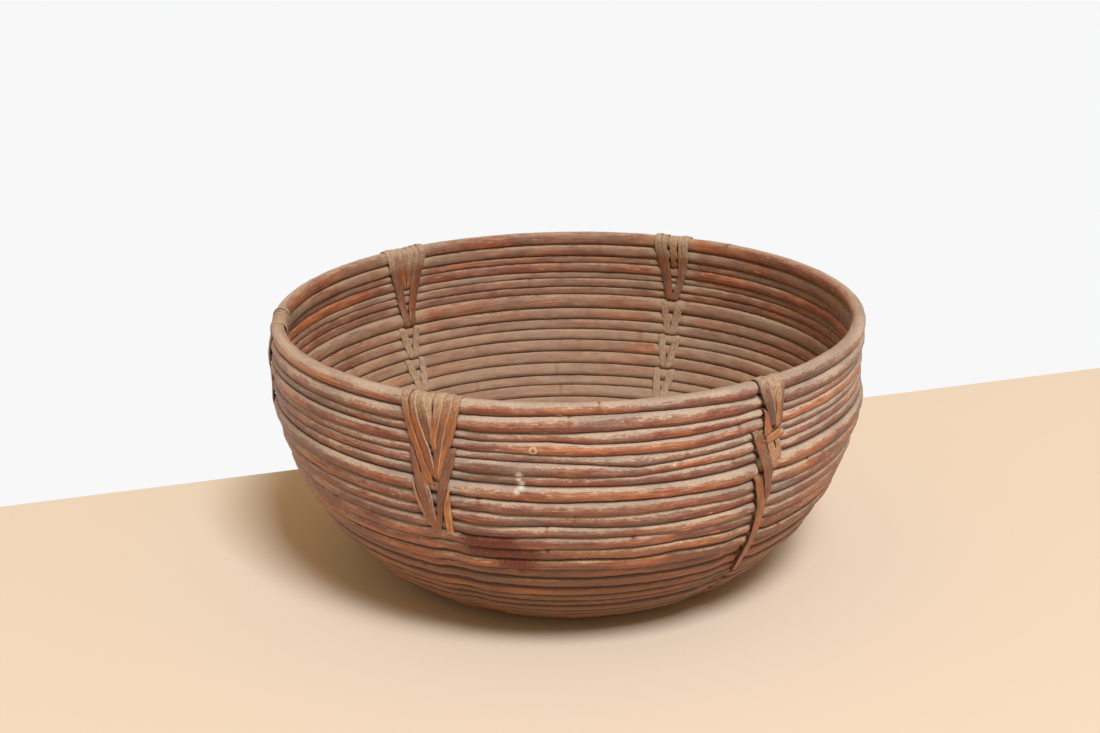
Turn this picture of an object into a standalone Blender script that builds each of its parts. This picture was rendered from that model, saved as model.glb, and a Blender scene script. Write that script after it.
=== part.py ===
"""Round cane basket: hoops of rattan cane stacked edge to edge, a coiled base and split-cane lashings.

Every course of the wall is one hoop of round cane, bent round and butted under the lashing at the front
right. The base is one unbroken coil of cane. Five columns of split cane bind the courses, about sixty
degrees apart but for the right side, which has none. Each is a fan of turns over the rim, and below it
two ties that weave down the wall and across the base.

Metres, +Z up. The origin is on the ground at the middle of the foot. The front of the basket faces -Y,
and azimuths run anticlockwise from +X, seen from above.
"""
import math
from dataclasses import dataclass

import bmesh
import bpy
import numpy as np
from mathutils import Vector

# Overall form
rim_outer_radius = 0.175
basket_height = 0.160
foot_radius = 0.087          # centre line of the lowest hoop
shoulder_height = 0.117      # above this height the wall stands upright
belly_fullness = 1.76        # powers of the curve between foot and shoulder
belly_roundness = 1.51

# Cane
rim_cane_diameter = 0.0079
foot_cane_diameter = 0.0070
base_cane_diameter = 0.0066
course_gap = 0.0005          # between two hoops that lie edge to edge
seam_gap = 0.0006            # between the two ends of a hoop
base_rise = 0.0020           # the base sits this much higher than the foot hoop
base_eye_radius = 0.0058     # centre line of the coil's inner end
foot_cut_share = 0.1         # depth of the flat on the foot hoop, of its diameter

# Split cane
strip_thickness = 0.0006
strip_clearance = 0.0003
strip_slack = 0.00012        # more room on each side of a strip where it goes between two hoops
strip_width = 0.0044
narrow_strip_width = 0.0034  # at the seam column
tie_width = 0.0040
pinched_width = 0.0018       # a strip's width where it is pulled between two hoops
pinch_gap = 0.0006           # between two strips that go in side by side
tie_flare = 0.0060           # a tie is back at its full width this far from the wall

# Lay of the lashings across their column
fan_turn_gap = 0.0011        # between two turns of the fan on the rim
narrow_turn_gap = 0.0006
fan_tip_parting = 0.0068     # between the left and the right turns at the tip of the fan
fan_middle_shift = 0.00085   # the two middle turns go in this far right of the middle
fan_tail_tip = 0.0014        # how far from the middle the two tails of the fan go in
tie_parting = 0.0012         # between the two ties where they come together
tie_step = 0.0004            # the ties go in this much further out than the tails of the fan
tie_shoulder_step = 0.0036   # and begin this much further out than the fan is wide
slant_tie_start = 0.0090     # at the seam column the first tie slants from here, left of the middle
slant_tie_end = 0.0010
tail_tie_start = 0.0100      # and the second, a long tail, from here
tail_tie_end = 0.0012

# Thickness of the courses between rim and foot, from the rim down, set against each other. They fill the
# wall, so that they come out about 7 mm thick at the sizes above.
course_diameter_shares = (1.09, 0.67, 0.83, 0.60, 0.84, 0.69, 1.18, 1.06, 0.93, 0.97, 1.00, 1.03,
                          1.03, 0.82, 1.09, 1.12, 1.00, 0.90, 1.02, 0.94, 1.00, 0.90, 0.96, 0.98)

# Layout
facet_count = 24             # straight stretches in a turn, more or less
column_degrees = {"front_left": 246.0, "front_right": 306.0, "back_right": 64.0, "back_left": 129.5,
                  "left": 184.5}
seam_column = "front_right"
seam_share = -0.25           # of half a straight stretch, from the middle of the seam column
fan_turn_count = 6
narrow_fan_turn_count = 3
fan_short_course_count = 4   # the inner turns of the fan go in below this many courses
fan_long_course_count = 7    # and the outer ones below this many
tie_entry_course_count = 11  # the ties go in below this many and weave from here on
tier_course_count = 3        # two courses on the inside and one on the outside
jog_stretch_count = 3        # stretches over which a turn of the base steps inwards
base_tier_count = 2          # tiers of the ties that cross the base

stretch_angle = 2 * math.pi / facet_count
half_stretch = stretch_angle / 2
hexagon_corner = 2 / math.sqrt(3)    # corner radius of a hexagon for an apothem of one
profile_step_count = 4000
edge_sample_count = 3        # per stretch, where gaps are measured
smooth_below_degrees = 70

strip_reach = strip_clearance + strip_thickness / 2             # from a hoop to a strip's centre line
strip_passage = strip_thickness + 2 * (strip_clearance + strip_slack)
pinch_pitch = pinched_width + pinch_gap
fan_tip_inner = fan_tip_parting / 2
fan_tip_outer = fan_tip_inner + pinch_pitch
fan_tail_spread = fan_tip_outer + (pinched_width + strip_width) / 2
tie_shoulder = fan_tail_spread + tie_shoulder_step
tie_spread = fan_tail_tip + pinch_pitch + tie_step
tie_tip = (pinched_width + tie_parting) / 2


@dataclass(frozen=True)
class Rod:
    """One round of cane where it crosses a column: its centre, its directions and its half width."""

    radius: float
    height: float
    along: tuple        # towards the next round, down the wall and inwards over the base
    outward: tuple      # towards the outside of the basket
    apothem: float

    def place(self, step, rise):
        """Give (radius, height) of a point step along the wall and rise outwards from the centre."""
        return (self.radius + step * self.along[0] + rise * self.outward[0],
                self.height + step * self.along[1] + rise * self.outward[1])

    def section(self):
        """Give the six corners of the cane, with flats towards its two neighbours."""
        corner = self.apothem * hexagon_corner
        steps = ((0, corner), (self.apothem, corner / 2), (self.apothem, -corner / 2),
                 (0, -corner), (-self.apothem, -corner / 2), (-self.apothem, corner / 2))
        return [self.place(step, rise) for step, rise in steps]

    def moved(self, radius, height):
        """Give the same rod with its centre at another place."""
        return Rod(radius, height, self.along, self.outward, self.apothem)


def clear_scene():
    """Remove every object that the scene holds."""
    for item in list(bpy.data.objects):
        bpy.data.objects.remove(item)


def make_material(name, colour, roughness):
    """Make a Principled material of one colour."""
    material = bpy.data.materials.new(name)
    material.use_nodes = True
    shader = material.node_tree.nodes["Principled BSDF"]
    shader.inputs["Base Color"].default_value = (*colour, 1.0)
    shader.inputs["Roughness"].default_value = roughness
    shader.inputs["Metallic"].default_value = 0.0
    material.diffuse_color = (*colour, 1.0)
    return material


def loft(name, sections, material):
    """Skin a row of like sections into one closed solid with flat ends."""
    mesh = bmesh.new()
    rings = [[mesh.verts.new(point) for point in section] for section in sections]
    for ring, following in zip(rings, rings[1:]):
        for corner in range(len(ring)):
            after = (corner + 1) % len(ring)
            mesh.faces.new((ring[corner], ring[after], following[after], following[corner]))
    mesh.faces.new(tuple(reversed(rings[0])))
    mesh.faces.new(tuple(rings[-1]))
    bmesh.ops.recalc_face_normals(mesh, faces=mesh.faces)
    data = bpy.data.meshes.new(name)
    mesh.to_mesh(data)
    mesh.free()
    data.shade_smooth()
    data.set_sharp_from_angle(angle=math.radians(smooth_below_degrees))
    data.materials.append(material)
    solid = bpy.data.objects.new(name, data)
    bpy.context.scene.collection.objects.link(solid)
    return solid


def in_column(azimuth, radius, across, height):
    """Turn (distance from the axis, distance across the column, height) into a point."""
    middle = Vector((math.cos(azimuth), math.sin(azimuth), 0))
    sideways = Vector((-math.sin(azimuth), math.cos(azimuth), 0))
    return middle * radius + sideways * across + Vector((0, 0, height))


def at_corner(azimuth, radius, height):
    """Give the point at a corner of a many-sided round."""
    return Vector((radius * math.cos(azimuth), radius * math.sin(azimuth), height))


# Profile of the wall

foot_height = foot_cane_diameter * (hexagon_corner / 2 - foot_cut_share)
rim_height = basket_height - rim_cane_diameter / 2
wall_radius = rim_outer_radius - rim_cane_diameter / 2


def profile_radius(height):
    """Give the radius of the wall's centre line at a height: a flattened arc below the shoulder.

    With t running from 0 at the shoulder to 1 at the foot, the radius is the foot's radius plus the rest
    of the wall's radius times (1 - t to the power belly_fullness) to the power 1 / belly_roundness.
    """
    drop = np.clip((shoulder_height - height) / (shoulder_height - foot_height), 0, 1)
    return foot_radius + (wall_radius - foot_radius) * (1 - drop ** belly_fullness) ** (1 / belly_roundness)


def profile_curve():
    """Give the length along the wall's centre line from the rim, and the radius and height there."""
    share = np.linspace(0, 1, profile_step_count)
    heights = foot_height + (rim_height - foot_height) * (1 - share) ** 2
    radii = profile_radius(heights)
    lengths = np.concatenate([[0], np.cumsum(np.hypot(np.diff(radii), np.diff(heights)))])
    return lengths, radii, heights


def is_passage(course):
    """Tell whether a strip goes through the wall below this course."""
    if course in (fan_short_course_count, fan_long_course_count, tie_entry_course_count):
        return True
    return course > tie_entry_course_count and (course - tie_entry_course_count) % tier_course_count != 1


def courses_that_fill(length):
    """Give the places and diameters of the courses that fill the wall, from the rim to the foot.

    What the rim, the foot and the gaps leave of the wall's length is shared out among the other courses.
    """
    shares = np.array(course_diameter_shares)
    gaps = np.array([strip_passage if is_passage(course) else course_gap
                     for course in range(1, len(shares) + 2)])
    left = length - (rim_cane_diameter + foot_cane_diameter) / 2 - gaps.sum()
    diameters = np.concatenate([[rim_cane_diameter], left * shares / shares.sum(), [foot_cane_diameter]])
    places = np.concatenate([[0.0], np.cumsum((diameters[:-1] + diameters[1:]) / 2 + gaps)])
    return places, diameters


def wall_rods():
    """Space the hoops along the profile and give one rod for each, from the rim to the foot."""
    lengths, radii, heights = profile_curve()
    rods = []
    for place, diameter in zip(*courses_that_fill(lengths[-1])):
        span = np.array([place - diameter / 2, place, place + diameter / 2])
        radius = np.interp(span, lengths, radii)
        height = np.interp(span, lengths, heights)
        along = np.array([radius[2] - radius[0], height[2] - height[0]])
        along = along / np.linalg.norm(along)
        rods.append(Rod(float(radius[1]), float(height[1]), (float(along[0]), float(along[1])),
                        (float(-along[1]), float(along[0])), diameter / 2))
    return rods


# Hoops

def column_azimuth(name):
    """Give the azimuth of the middle of a column."""
    return math.radians(column_degrees[name])


def corner_azimuths():
    """Give the azimuths of the corners of one turn, from the seam column round to the seam column.

    One stretch lies squarely across each column, and like stretches fill the space between two columns.
    """
    seam = column_azimuth(seam_column)
    turns = sorted((column_azimuth(name) - seam) % (2 * math.pi) for name in column_degrees)
    corners = []
    for turn, following in zip(turns, turns[1:] + [2 * math.pi]):
        space = following - turn - stretch_angle
        count = round(space / stretch_angle)
        corners += [seam + turn + half_stretch + space * step / count for step in range(count + 1)]
    return corners


def cut_flat(section, level):
    """Cut off the part of a convex section that lies below a level, leaving a flat."""
    kept = []
    for point, after in zip(section, section[1:] + section[:1]):
        if point[1] >= level:
            kept.append(point)
        if (point[1] - level) * (after[1] - level) < 0:
            share = (level - point[1]) / (after[1] - point[1])
            kept.append((point[0] + share * (after[0] - point[0]), level))
    return kept


def hoop(name, rod, material, ground=None):
    """Bend one cane into a many-sided hoop whose ends meet in the seam column."""
    section = rod.section()
    if ground is not None:
        section = cut_flat(section, ground)
    azimuth = column_azimuth(seam_column)
    seam = seam_share * rod.radius * math.sin(half_stretch)
    inward = math.cos(half_stretch)
    rings = [[in_column(azimuth, radius * inward, seam + seam_gap / 2, height) for radius, height in section]]
    for corner in corner_azimuths():
        rings.append([at_corner(corner, radius, height) for radius, height in section])
    rings.append([in_column(azimuth, radius * inward, seam - seam_gap / 2, height) for radius, height in section])
    return loft(name, rings, material)


# Base coil

def coil_size():
    """Give the coil's outer centre-line radius, its pitch and the number of its turns."""
    outer = foot_radius - foot_cane_diameter / 2 - strip_passage - base_cane_diameter / 2
    turns = int((outer - base_eye_radius) / (base_cane_diameter + strip_passage))
    return outer, (outer - base_eye_radius) / turns, turns


def coil_radius(step):
    """Give the coil's radius after a number of stretches, counted from its outer end.

    An outer turn keeps its radius and steps in by one pitch over its last stretches, so that it lies
    against the foot hoop. Towards the middle the step spreads over the whole turn.
    """
    outer, pitch, turns = coil_size()
    round_count = len(corner_azimuths())
    turn, stretch = divmod(step, round_count)
    evenly = stretch / round_count
    late = max(0.0, (stretch - (round_count - jog_stretch_count)) / jog_stretch_count)
    blend = max(0.0, 1 - turn / turns)
    return outer - pitch * (turn + (1 - blend) * evenly + blend * late)


def coil_azimuths():
    """Give the azimuths of the coil's corners in a turn, from its outer end just before the seam column."""
    corners = corner_azimuths()
    return corners[-1:] + corners[:-1]


def coil_rods(azimuth):
    """Give the rods where the coil's turns cross the middle of a column."""
    turns = coil_size()[2]
    azimuths = coil_azimuths()
    before = azimuth - half_stretch
    first = max(range(len(azimuths)), key=lambda step: math.cos(azimuths[step] - before))
    rods = []
    for turn in range(turns):
        step = first + turn * len(azimuths)
        radius = (coil_radius(step) + coil_radius(step + 1)) / 2
        rods.append(Rod(radius, foot_height + base_rise, (-1.0, 0.0), (0.0, -1.0), base_cane_diameter / 2))
    return rods


def base_coil(material):
    """Wind the base from one unbroken cane and print the least gap between its turns."""
    turns = coil_size()[2]
    azimuths = coil_azimuths()
    rod = Rod(0.0, foot_height + base_rise, (-1.0, 0.0), (0.0, -1.0), base_cane_diameter / 2)
    rings = []
    for step in range(turns * len(azimuths) + 1):
        azimuth = azimuths[step % len(azimuths)]
        section = rod.moved(coil_radius(step), rod.height).section()
        rings.append([at_corner(azimuth, place, height) for place, height in section])
    print_least_gap("base_coil", rings, 3 * base_cane_diameter)
    return loft("base_coil", rings, material)


def print_least_gap(name, rings, apart):
    """Print the least distance between a winding's edges at places further apart along it than apart."""
    corners = np.array([[tuple(corner) for corner in ring] for ring in rings])
    share = np.linspace(0, 1, edge_sample_count, endpoint=False)[None, :, None, None]
    edges = corners[:-1, None] * (1 - share) + corners[1:, None] * share
    edges = edges.reshape(-1, *corners.shape[1:])
    centres = edges.mean(axis=1)
    travelled = np.concatenate([[0], np.cumsum(np.linalg.norm(np.diff(centres, axis=0), axis=1))])
    least = math.inf
    for index, here in enumerate(edges):
        far = edges[travelled > travelled[index] + apart].reshape(-1, 1, 3)
        if len(far):
            least = min(least, float(np.linalg.norm(far - here[None], axis=2).min()))
    print(name, "least gap to itself, mm:", round(least * 1000, 2))


# Split-cane strips

@dataclass(frozen=True)
class Stop:
    """A place where a strip goes through the wall below a course, or over the rim when course is 0.

    across is the distance from the middle of the column. A stop that is only passed by leaves the
    strip on the side that it is on.
    """

    course: int
    across: float
    passed_by: bool = False


def passage(rods, course, from_outside):
    """Give the two mouths of the passage below a course, in the order in which a strip meets them."""
    if course == 0:
        rim = rods[0]
        apothem = rim.apothem + strip_reach
        mouths = [rim.place(-apothem, apothem * hexagon_corner / 2),
                  rim.place(-apothem, -apothem * hexagon_corner / 2)]
    else:
        upper, lower = rods[course - 1], rods[course]
        outward = np.array(upper.outward) + np.array(lower.outward)
        outward = outward / np.linalg.norm(outward)
        along = np.array([outward[1], -outward[0]])
        upper_centre = np.array([upper.radius, upper.height])
        lower_centre = np.array([lower.radius, lower.height])
        middle = (upper_centre @ along + upper.apothem + lower_centre @ along - lower.apothem) / 2
        upper_half = (upper.apothem + strip_reach) * hexagon_corner / 2
        lower_half = (lower.apothem + strip_reach) * hexagon_corner / 2
        outside = max(upper_centre @ outward + upper_half, lower_centre @ outward + lower_half)
        inside = min(upper_centre @ outward - upper_half, lower_centre @ outward - lower_half)
        mouths = [tuple(along * middle + outward * outside), tuple(along * middle + outward * inside)]
    return mouths if from_outside else mouths[::-1]


def over_courses(rods, first, last, outside):
    """Pull a strip tight over the courses first to last and give the corners that it bears on.

    This is the hull of the rods' outer or inner corners, each moved off by the strip's clearance.
    """
    side = 1 if outside else -1
    bearing = []
    for rod in rods[first - 1:last]:
        corner = rod.place(0, side * (rod.apothem + strip_reach) * hexagon_corner)
        while len(bearing) > 1:
            before = np.subtract(bearing[-1], bearing[-2])
            after = np.subtract(corner, bearing[-1])
            turn = before[0] * after[1] - before[1] * after[0]
            if turn * side < 0:
                break
            bearing.pop()
        bearing.append(corner)
    return bearing


def strip_path(rods, stops, outside, full_width, flare):
    """Give a strip's centre line as rows of (radius, height, across, width)."""
    runs = [[stops[0]]]
    for stop in stops[1:]:
        runs[-1].append(stop)
        if not stop.passed_by:
            runs.append([stop])
    runs.pop()
    path = [(*mouth, stops[0].across, pinched_width)
            for mouth in passage(rods, stops[0].course, not outside)]
    for run in runs:
        path += run_points(rods, run, path[-1], outside, full_width, flare)
        outside = not outside
    return path


def run_points(rods, run, start, outside, full_width, flare):
    """Give the points of one run of a strip on one side of the wall, and of the passage at its end."""
    begin, finish = run[0], run[-1]
    low, high = sorted((begin.course, finish.course))
    bearing = over_courses(rods, low + 1, high, outside)
    if begin.course > finish.course:
        bearing.reverse()
    mouths = passage(rods, finish.course, outside)
    places = np.array([start[:2], *bearing, mouths[0]])
    travelled = np.concatenate([[0], np.cumsum(np.linalg.norm(np.diff(places, axis=0), axis=1))])
    marks = [0.0]
    for stop in run[1:-1]:
        target = np.array(passage(rods, stop.course, outside)[0])
        marks.append(float(travelled[np.argmin(np.linalg.norm(places - target, axis=1))]))
    marks.append(float(travelled[-1]))
    across = np.interp(travelled, marks, [stop.across for stop in run])
    to_pinch = np.minimum(travelled if begin.course else travelled[-1],
                          travelled[-1] - travelled if finish.course else travelled[-1])
    slack = flare if flare else travelled[-1]
    width = pinched_width + (full_width - pinched_width) * np.clip(to_pinch / slack, 0, 1)
    points = [(*place, aside, wide) for place, aside, wide in zip(places[1:], across[1:], width[1:])]
    end_width = full_width if finish.course == 0 else pinched_width
    points[-1] = (*mouths[0], finish.across, end_width)
    points.append((*mouths[1], finish.across, end_width))
    return points


def strip(name, azimuth, path, material):
    """Sweep a flat section along a path in a column, mitred at each bend."""
    places = np.array([point[:2] for point in path])
    ahead = np.diff(places, axis=0)
    ahead = ahead / np.linalg.norm(ahead, axis=1)[:, None]
    normals = np.stack([-ahead[:, 1], ahead[:, 0]], axis=1)
    before = np.concatenate([normals[:1], normals])
    after = np.concatenate([normals, normals[-1:]])
    mitre = before + after
    mitre = mitre / (0.5 * np.sum(mitre * mitre, axis=1))[:, None]
    rings = []
    for place, offset, (_, _, across, width) in zip(places, mitre * strip_thickness / 2, path):
        near, far = place - offset, place + offset
        left, right = across - width / 2, across + width / 2
        corners = ((near, left), (near, right), (far, right), (far, left))
        rings.append([in_column(azimuth, flat[0], aside, flat[1]) for flat, aside in corners])
    print_least_gap(name, rings, 2 * strip_width)
    return loft(name, rings, material)


def turns_on_rim(count, pitch):
    """Spread a number of turns about the middle of the column."""
    return [(turn - (count - 1) / 2) * pitch for turn in range(count)]


def wide_fan():
    """Plan the six turns over the rim, with both tails crossing the next tier as a V on the inside."""
    rim = turns_on_rim(fan_turn_count, strip_width + fan_turn_gap)
    return [Stop(tie_entry_course_count, -fan_tail_tip), Stop(fan_long_course_count, -fan_tail_spread, True),
            Stop(0, rim[0]), Stop(fan_long_course_count, -fan_tip_outer),
            Stop(0, rim[1]), Stop(fan_long_course_count, -fan_tip_inner),
            Stop(0, rim[2]), Stop(fan_short_course_count, fan_middle_shift - pinch_pitch / 2),
            Stop(0, rim[3]), Stop(fan_short_course_count, fan_middle_shift + pinch_pitch / 2),
            Stop(0, rim[4]), Stop(fan_long_course_count, fan_tip_inner),
            Stop(0, rim[5]), Stop(fan_long_course_count, fan_tip_outer),
            Stop(tie_entry_course_count, fan_tail_tip)]


def narrow_fan():
    """Plan the few turns over the rim at the seam column."""
    tips = turns_on_rim(narrow_fan_turn_count + 1, pinch_pitch)
    stops = [Stop(fan_short_course_count, tips[0])]
    for across, tip in zip(turns_on_rim(narrow_fan_turn_count, narrow_strip_width + narrow_turn_gap), tips[1:]):
        stops += [Stop(0, across), Stop(fan_short_course_count, tip)]
    return stops


def weave(first, last_hoop, last_turn, side):
    """Plan a tie's weave: two courses on the inside and one on the outside, then on across the base."""
    stops = []
    course = first
    while course + tier_course_count + 1 < last_hoop:
        course += tier_course_count
        stops += [Stop(course - 1, side * tie_tip), Stop(course, side * tie_spread)]
    course = last_hoop
    while course < last_turn:
        stops += [Stop(course, side * tie_tip), Stop(course + 1, side * tie_spread)]
        course += tier_course_count
    return stops + [Stop(last_turn, side * tie_tip)]


def ties(name, hoops):
    """Plan a column's two ties, from the arms on the outside down to the base."""
    reach = hoops + base_tier_count * tier_course_count - 1
    if name == seam_column:
        tail_course = tie_entry_course_count + 2 * tier_course_count
        return ([Stop(fan_short_course_count, -slant_tie_start), Stop(tie_entry_course_count, slant_tie_end)]
                + weave(tie_entry_course_count, hoops, reach, 1),
                [Stop(fan_long_course_count, -tail_tie_start), Stop(tail_course, -tail_tie_end)]
                + weave(tail_course, hoops, reach, -1))
    return tuple([Stop(fan_short_course_count, side * tie_shoulder), Stop(tie_entry_course_count, side * tie_spread)]
                 + weave(tie_entry_course_count, hoops, reach, side) for side in (-1, 1))


def lash_column(name, hoops, material):
    """Make the rim lashing and the two ties of one column."""
    azimuth = column_azimuth(name)
    inward = math.cos(half_stretch)
    rods = [rod.moved(rod.radius * inward, rod.height) for rod in hoops + coil_rods(azimuth)]
    if name == seam_column:
        path = strip_path(rods, narrow_fan(), False, narrow_strip_width, 0)
    else:
        path = strip_path(rods, wide_fan(), False, strip_width, 0)
    strip(name + "_rim_lashing", azimuth, path, material)
    for number, stops in enumerate(ties(name, len(hoops)), start=1):
        path = strip_path(rods, stops, True, tie_width, tie_flare)
        strip(name + "_tie_" + str(number), azimuth, path, material)


def main():
    """Build the basket: hoops, base coil and lashings."""
    clear_scene()
    cane = make_material("red_brown_rattan", (0.33, 0.17, 0.11), 0.55)
    base_cane = make_material("pale_rattan", (0.40, 0.24, 0.15), 0.6)
    split_cane = make_material("split_cane", (0.38, 0.18, 0.08), 0.5)
    rods = wall_rods()
    for number, rod in enumerate(rods, start=1):
        if number == 1:
            hoop("rim_hoop", rod, cane)
        elif number == len(rods):
            hoop("foot_hoop", rod, cane, ground=0.0)
        else:
            hoop("hoop_" + str(number).zfill(2), rod, cane)
    base_coil(base_cane)
    for name in column_degrees:
        lash_column(name, rods, split_cane)
    print("courses:", len(rods), "turns in the base:", coil_size()[2])


main()
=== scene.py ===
"""Looks of the round rattan basket: bent canes, a coiled base and split-cane lashings.

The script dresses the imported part. Sizes are in millimetres and become metres when a mesh is made. +Z is up,
the origin is on the ground at the middle of the foot, and azimuths run anticlockwise from +X.

A place on the basket is given by three numbers. Arc is the way down the wall's middle surface from the
centre of the rim cane, and on over the base to its middle. Rise is the distance outwards from that surface.
Across is the distance sideways from the middle of a column of lashing, towards larger azimuths.
"""

import logging
import math
from dataclasses import dataclass, replace
from enum import Enum
from typing import Any

import bpy
import numpy as np
from mathutils import Matrix, Vector

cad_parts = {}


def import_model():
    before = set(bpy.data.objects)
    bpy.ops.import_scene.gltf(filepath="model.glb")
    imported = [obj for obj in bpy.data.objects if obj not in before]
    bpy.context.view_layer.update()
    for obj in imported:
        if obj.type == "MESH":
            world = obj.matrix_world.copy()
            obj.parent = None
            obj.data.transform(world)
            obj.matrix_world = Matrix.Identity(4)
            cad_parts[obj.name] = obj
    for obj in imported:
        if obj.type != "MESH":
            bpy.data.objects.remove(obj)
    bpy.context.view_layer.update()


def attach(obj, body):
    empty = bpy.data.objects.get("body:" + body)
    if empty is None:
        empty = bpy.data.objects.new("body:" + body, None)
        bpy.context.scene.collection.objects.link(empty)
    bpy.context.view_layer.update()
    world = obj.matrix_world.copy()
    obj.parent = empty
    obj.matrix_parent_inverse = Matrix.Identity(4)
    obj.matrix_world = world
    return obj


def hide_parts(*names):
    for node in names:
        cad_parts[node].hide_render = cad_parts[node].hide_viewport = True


LOG = logging.getLogger("basket")
MM = 0.001
BODY = "root"
SEED = 20
TAU = 2 * math.pi
PHASE = (0, 6.28)                    # range of a random phase
RIPPLE_ACROSS = 0.4                  # share of a cane's ripple that shows in its width
Knots = tuple[tuple[float, float, float], ...]


class Side(Enum):
    """The two sides of the wall, with the sign of the rise on each."""

    OUTSIDE = 1
    INSIDE = -1


class Slot(Enum):
    """The material slots of the part's record."""

    CANE = "cane"
    BASE_CANE = "base_cane"
    SPLIT_CANE = "split_cane"


class Column(Enum):
    """The five columns of lashing, with the azimuth of each in degrees."""

    FRONT_LEFT = 246.0
    FRONT_RIGHT = 306.0
    BACK_RIGHT = 64.0
    BACK_LEFT = 129.5
    LEFT = 184.5

    @property
    def azimuth(self) -> float:
        """Give the azimuth of the column's middle in radians."""
        return math.radians(self.value)


# Small tools


def smooth_step(low: float, high: float, value: np.ndarray) -> np.ndarray:
    """Rise smoothly from 0 at low to 1 at high: three times the square less twice the cube of the share."""
    share = np.clip((value - low) / (high - low), 0.0, 1.0)
    return share * share * (3 - 2 * share)


def bell(away: np.ndarray, spread: float) -> np.ndarray:
    """Give a bell curve: e to the power of minus half the square of the distance over the spread."""
    return np.exp(-0.5 * (away / spread) ** 2)


def signed_power(value: np.ndarray, power: Any) -> np.ndarray:
    """Raise the size of each value to a power and keep its sign: a power below one squares a round section."""
    return np.sign(value) * np.abs(value) ** power


def section(corners: int, wide: Any, deep: Any) -> tuple[np.ndarray, np.ndarray, np.ndarray]:
    """Give the angles round a section, with the sine of each to one power and the cosine to another."""
    corner = np.arange(corners) * TAU / corners
    return corner, signed_power(np.sin(corner), wide), signed_power(np.cos(corner), deep)


def rounded(to_end: np.ndarray, reach: float, least: float) -> np.ndarray:
    """Give the share of a cane's thickness near its end: a quarter circle from least up to 1 over the reach."""
    return least + (1 - least) * np.sqrt(1 - (1 - np.clip(to_end / reach, 0, 1)) ** 2)


def unit(rows: np.ndarray) -> np.ndarray:
    """Scale each row to a length of one."""
    return rows / np.linalg.norm(rows, axis=1)[:, None]


def way_along(rows: np.ndarray) -> np.ndarray:
    """Add up the distances along a line of points, from 0 at the first."""
    return np.concatenate([[0], np.cumsum(np.linalg.norm(np.diff(rows, axis=0), axis=1))])


def past(azimuth: np.ndarray, middle: float) -> np.ndarray:
    """Give how far azimuths lie past a middle one, in radians from minus pi to pi."""
    return (azimuth - middle + np.pi) % TAU - np.pi


def spun(radius: np.ndarray, azimuth: np.ndarray, height: np.ndarray) -> np.ndarray:
    """Turn radii, azimuths and heights into points on a new last axis."""
    return np.stack([radius * np.cos(azimuth), radius * np.sin(azimuth), height], axis=-1)


def ripple(chance: np.random.Generator, size: float, waves: tuple[tuple[float, int], ...], along: np.ndarray,
           corner: np.ndarray) -> np.ndarray:
    """Add up waves of one size, each a sine of (rate x way along + lobes x corner + random phase)."""
    return sum(size * np.sin(along * rate + corner * lobes + chance.uniform(*PHASE)) for rate, lobes in waves)


def blur(rows: np.ndarray, reach: float) -> np.ndarray:
    """Smooth each column of evenly spaced rows with a bell curve, and keep the two end rows in place.

    Past its ends the curve is carried on by turning it about its end points, so that they stay.

    Args:
        rows: samples along the first axis.
        reach: standard deviation of the bell curve, in samples.

    Returns:
        The smoothed rows.
    """
    half = min(int(math.ceil(reach * 3)), len(rows) - 1)
    weights = bell(np.arange(-half, half + 1), reach)
    padded = np.concatenate([2 * rows[:1] - rows[half:0:-1], rows, 2 * rows[-1:] - rows[-2:-half - 2:-1]])
    return np.stack([np.convolve(column, weights / weights.sum(), mode="valid") for column in padded.T], axis=1)


def linear(code: str) -> tuple[float, float, float, float]:
    """Turn an sRGB hex colour into linear RGBA.

    A channel below 0.04045 is divided by 12.92. Above it, 0.055 is added, the sum is divided by 1.055 and
    raised to the power 2.4.

    Args:
        code: colour as six hex digits after a hash.

    Returns:
        Linear red, green, blue and an alpha of one.
    """
    channels = [int(code[index:index + 2], 16) / 255 for index in (1, 3, 5)]
    red, green, blue = [value / 12.92 if value <= 0.04045 else ((value + 0.055) / 1.055) ** 2.4
                        for value in channels]
    return red, green, blue, 1.0


def add_node(tree: Any, kind: str, links: dict[Any, Any] | None = None, **settings: Any) -> Any:
    """Add one node with its settings, and set or link its inputs.

    Args:
        tree: node tree that gets the node.
        kind: Blender's name of the node's type.
        links: for each input, by name or number, a constant, a socket, or a node whose first output is used.
        settings: properties of the node; ramp is a list of (place, colour) stops of a Color Ramp.

    Returns:
        The new node.
    """
    node = tree.nodes.new(kind)
    stops = settings.pop("ramp", ())
    for key, value in settings.items():
        setattr(node, key, value)
    for index, (place, colour) in enumerate(stops):
        elements = node.color_ramp.elements
        element = elements[index] if index < len(elements) else elements.new(place)
        element.position, element.color = place, colour
    for key, value in (links or {}).items():
        if isinstance(value, bpy.types.Node):
            value = value.outputs[0]
        if isinstance(value, bpy.types.NodeSocket):
            tree.links.new(value, node.inputs[key])
        else:
            node.inputs[key].default_value = value
    return node


def new_tree(block: Any) -> Any:
    """Empty the node tree of a material or a world.

    Args:
        block: the material or the world.

    Returns:
        Its tree, without nodes.
    """
    block.use_nodes = True
    block.node_tree.nodes.clear()
    return block.node_tree


def put(name: str, data: Any, place: Matrix | None = None) -> Any:
    """Put a new object into the scene.

    Args:
        name: its name.
        data: its mesh, lamp or camera.
        place: where it goes, or nothing for the origin.

    Returns:
        The object.
    """
    item = bpy.data.objects.new(name, data)
    if place is not None:
        item.matrix_world = place
    bpy.context.scene.collection.objects.link(item)
    return item


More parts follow.
